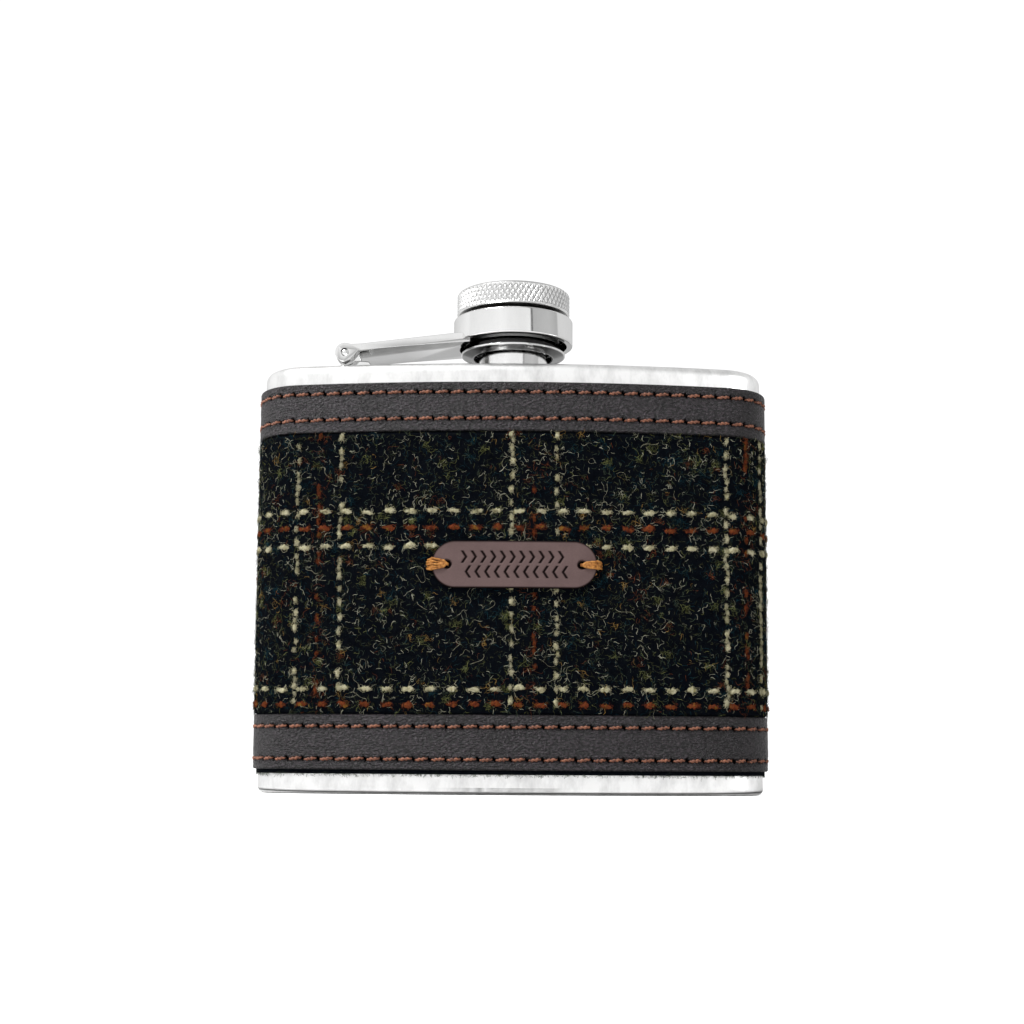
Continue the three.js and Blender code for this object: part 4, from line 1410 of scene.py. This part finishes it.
def make_band(rng, name, node, rows):
    low, high = span(node)
    low, high = low[2], high[2]
    half = HALF_ROUND - SEAM
    s = np.linspace(-half, half, 1500)
    edge = np.array([0.0, 0.04, 0.1, 0.18, 0.28, 0.4, 0.55])
    holes_z = [stitch_height(row) for row in rows]
    z = np.concatenate([low + edge, high - edge, np.arange(low + 0.8, high - 0.7, 0.45)])
    z = np.concatenate([z] + [zr + np.linspace(-0.75, 0.75, 11) for zr in holes_z])
    z = np.unique(np.round(z, 3))
    sg, zg = np.meshgrid(s, z)
    inside = np.minimum(zg - low, high - zg)
    turned = 1 - np.clip(inside / 0.42, 0, 1)
    out = -0.30 * (1 - np.sqrt(np.clip(1 - turned**2, 0, 1)))
    out += 0.02 * smooth_noise(rng, sg, zg, 3.0) * (inside > 0.3)
    out -= 0.05 * np.exp(-(((inside - 0.75) / 0.13) ** 2))
    out += 0.035 * smooth_noise(rng, sg, zg, 0.9) * (inside > 0.3)
    local = (sg - stitch_places()[0] + STITCH_PITCH / 2) % STITCH_PITCH - STITCH_PITCH / 2
    for zr in holes_z:
        out -= 0.10 * np.exp(-(((zg - zr) / 0.42) ** 2))
        for end in (-1, 1):
            ds = local - end * (STITCH_PITCH / 2 - 0.07)
            dz = zg - zr - end * STITCH_TILT * 0.9
            out -= 0.45 * np.exp(-((ds / 0.34) ** 2 + (dz / 0.32) ** 2) ** 1.5)
    # Edge dye and painted shade: the last 0.3 mm of each edge darkens as it rolls under, each needle hole is
    # painted black as shade, and a band of painted shade runs just under each stitch row.
    marks_and_shade = np.clip((0.30 - inside) / 0.25, 0, 1) * 0.55
    for zr in holes_z:
        for end in (-1, 1):
            ds = local - end * (STITCH_PITCH / 2 - 0.05)
            away = np.hypot(ds / 0.40, (zg - zr - end * STITCH_TILT) / 0.38)
            marks_and_shade = np.maximum(marks_and_shade, np.clip((1.3 - away) * 2, 0, 1))
        marks_and_shade = np.maximum(marks_and_shade, 0.6 * np.exp(-(((zg - zr + 0.10) / 0.40) ** 2)))
    back_z = np.linspace(high - 0.05, low + 0.05, 6)
    shape = strip_round(s, on_flask(sg, zg, out), back_z, -LEATHER_T)
    piece = add_piece(name, shape, "flask", "band_leather", [node])
    # The band's back is painted fully dark, as shade against the cloth.
    set_tone(piece, np.concatenate([marks_and_shade, np.ones((len(back_z), len(s)))]))


def make_stitches(rng, row):
    zr = stitch_height(row)
    s0 = stitch_places()
    steps = 22
    t = np.linspace(-1, 1, steps)[None, :]
    half = STITCH_HALF + rng.normal(0, 0.03, (len(s0), 1))
    tilt = STITCH_TILT + rng.normal(0, 0.025, (len(s0), 1))
    s = s0[:, None] + rng.normal(0, 0.03, (len(s0), 1)) + half * t
    z = zr + rng.normal(0, 0.02, (len(s0), 1)) + tilt * t
    rise = 1 - np.abs(t) ** 5
    out = -0.50 + 0.38 * rise + 0 * s
    paths = on_flask(s, z, out)
    along, outward = flask_axes(s)
    radius = 0.27 * (1 - 0.45 * np.abs(t) ** 4) * np.ones_like(s)
    shape = tubes(paths, upward(along), outward * 0.92, radius, 14, twist=10.0, lobe=0.30)
    add_piece("stitches_" + row, shape, "flask", "band_thread", ["stitch_row_" + row])


def make_bands():
    rng = np.random.default_rng(SEED + 1)
    make_band(rng, "band_upper", "leather_band_top", STITCH_ROWS[:2])
    make_band(rng, "band_lower", "leather_band_bottom", STITCH_ROWS[2:])
    for row in STITCH_ROWS:
        make_stitches(rng, row)


# ---------------------------------------------------------------- leather tag and its threads

TAG_LOW, TAG_HIGH = span("leather_tag")
TAG_X = (TAG_LOW[0] + TAG_HIGH[0]) / 2
TAG_Z = (TAG_LOW[2] + TAG_HIGH[2]) / 2
TAG_L = TAG_HIGH[0] - TAG_LOW[0]
TAG_H = TAG_HIGH[2] - TAG_LOW[2]
TAG_T = 1.0
TAG_BACK = -0.05
TAG_HOLE_X = 11.85
TAG_HOLE_R = 0.75
TAG_S = FRONT_R * math.asin(TAG_X / FRONT_R)


def tag_tooling(x, y):
    """Two rows of tooled chevrons down the middle of the tag, from 0 on plain leather to 1 in the marks."""
    mark = np.zeros_like(x)
    for row, lean in ((1.32, 1), (-1.32, -1)):
        v = (y - row) / 1.08
        u = (x + lean * 0.7 * np.abs(v)) / 1.7
        off = np.abs(u - np.round(u)) * 1.7
        inside = (np.abs(v) < 1) & (np.abs(np.round(u)) < 6)
        mark = np.maximum(mark, np.clip((0.30 - off) / 0.12, 0, 1) * inside)
    return mark


def make_tag():
    end = TAG_L / 2 - TAG_H / 2
    right = end + TAG_H / 2 * np.sin(np.linspace(0, math.pi / 2, 40))[1:-1]
    middle = np.arange(-end, end + 0.01, (2 * end) / 210)
    x = np.concatenate([-right[::-1], middle, right])
    top_v = np.sin(np.linspace(-math.pi / 2, math.pi / 2, 91))
    low_v = np.sin(np.linspace(math.pi / 2, -math.pi / 2, 21))[1:-1]
    v = np.concatenate([top_v, low_v])
    upper = np.concatenate([np.ones(len(top_v)), np.zeros(len(low_v))])
    past = np.clip(np.abs(x) - end, 0, None)
    half = np.sqrt(np.clip((TAG_H / 2) ** 2 - past**2, 0, None))
    xg, vg = np.meshgrid(x, v, indexing="ij")
    up = np.broadcast_to(upper, xg.shape)
    yg = vg * half[:, None]
    reach = np.hypot(np.clip(np.abs(xg) - end, 0, None), yg)
    inside = TAG_H / 2 - reach
    turned = 1 - np.clip(inside / 0.28, 0, 1)
    drop = 0.3 * (1 - np.sqrt(np.clip(1 - turned**2, 0, 1)))
    mark = tag_tooling(xg, yg)
    hole = np.zeros_like(xg)
    for side in (-1, 1):
        away = np.hypot(xg - side * TAG_HOLE_X, yg)
        hole = np.maximum(hole, np.clip((TAG_HOLE_R + 0.12 - away) / 0.24, 0, 1))
    top = TAG_T - drop - 0.15 * mark - 0.9 * hole
    low = 0.04 * np.ones_like(xg) + drop * 0.3
    out = TAG_BACK + np.where(up > 0.5, top, low)
    # The edge darkens, partly as its dye and partly as painted shade; the holes are painted dark as shade,
    # the tooled marks darken as pressed leather does, and the back is painted fully dark as shade.
    edge = np.clip((0.40 - inside) / 0.30, 0, 1)
    tone = np.where(up > 0.5, np.maximum.reduce([mark, hole, edge]), 1.0)
    verts = on_flask(TAG_S + xg, TAG_Z + yg, out).reshape(-1, 3)
    ends = on_flask(TAG_S + TAG_L / 2 * np.array([-1, 1]), TAG_Z, TAG_BACK + 0.45)
    loop = len(v)
    faces = [grid_faces(len(x), loop, False, True)] + end_fans(loop, (len(x) - 1) * loop, len(verts))
    shape = (np.concatenate([verts, ends]), faces)
    piece = add_piece("tag_plate", shape, "flask", "tag_leather", ["leather_tag"], sharp=60)
    set_tone(piece, np.concatenate([tone.ravel(), [1.0, 1.0]]))


STRANDS = 5
KNOT_STEPS = 34
TAIL_STEPS = 40


def along_route(stops):
    """The values at a knot's stops, eased between them over all its steps."""
    stops = np.array(stops)
    u = np.linspace(0, len(stops) - 1, KNOT_STEPS)
    k = np.clip(u.astype(int), 0, len(stops) - 2)
    f = u - k
    ease = f * f * (3 - 2 * f) * 0.4 + f * 0.6
    return stops[k] + (stops[k + 1] - stops[k]) * ease


def make_tag_threads():
    """The strands from each hole over the tag's end into the cloth, and the loose tail at the right."""
    rng = np.random.default_rng(SEED + 2)
    hole, end = TAG_HOLE_X, TAG_L / 2
    fan = np.linspace(-1, 1, STRANDS)[:, None]
    route_x = along_route([hole - 0.15, hole, hole + 0.5, end - 0.8, end - 0.1, end + 0.45, end + 0.75])
    route_out = along_route([-0.3, 0.0, 0.22, 0.3, 0.2, -0.35, -1.05]) + TAG_BACK + TAG_T
    for name, side, spread in (("left", -1, 0.95), ("right", 1, 0.6)):
        share = along_route([0.0, 0.1, 0.5, 0.95, 1.0, 0.9, 0.8]) * spread
        x = route_x + 0.12 * rng.normal(0, 1, (STRANDS, 1)) * share
        y = fan * 0.98 * share + rng.normal(0, 0.05, (STRANDS, 1))
        out = route_out + 0.10 * rng.uniform(-1, 1, (STRANDS, 1)) * share
        paths = on_flask(TAG_S + side * x, TAG_Z + y, out)
        tangent = unit(np.gradient(paths, axis=1))
        up = upward(tangent)
        across = unit(np.cross(tangent, up))
        shape = tubes(paths, up, across, np.full((STRANDS, KNOT_STEPS), 0.21), 12, twist=9.0, lobe=0.28)
        add_piece("tag_knot_" + name, shape, "flask", "tag_thread", ["tag_thread_" + name])
    t = np.linspace(0, 1, TAIL_STEPS)
    s = TAG_S + end - 0.1 - 2.4 * t
    paths = on_flask(s, TAG_Z - 1.4 - 2.3 * t, 0.12 + 0.1 * np.sin(5 * t))[None]
    outward = flask_axes(s)[1][None]
    across = np.cross(unit(np.gradient(paths, axis=1)), outward)
    shape = tubes(paths, across, outward, np.full((1, TAIL_STEPS), 0.13), 8, twist=12.0, lobe=0.2)
    add_piece("tag_tail", shape, "flask", "tag_thread")


# ---------------------------------------------------------------- build

make_camera()
make_world()
make_light("key", (-330, -300, 640), KEY_LIGHT_SIZE, 5.0)
make_floor()
make_shells()
make_neck()
make_cap()
make_flange()
make_seal()
make_arm()
make_bracket()
make_pin()
make_tweed()
make_bands()
make_tag()
make_tag_threads()
make_side_light("left", (-560, -200, 330), 6.5, ("band_", "stitches_"))
make_side_light("right", (520, -300, 200), 2.2, ("band_", "stitches_", "steel_"))

bpy.context.scene.view_settings.view_transform = "Standard"
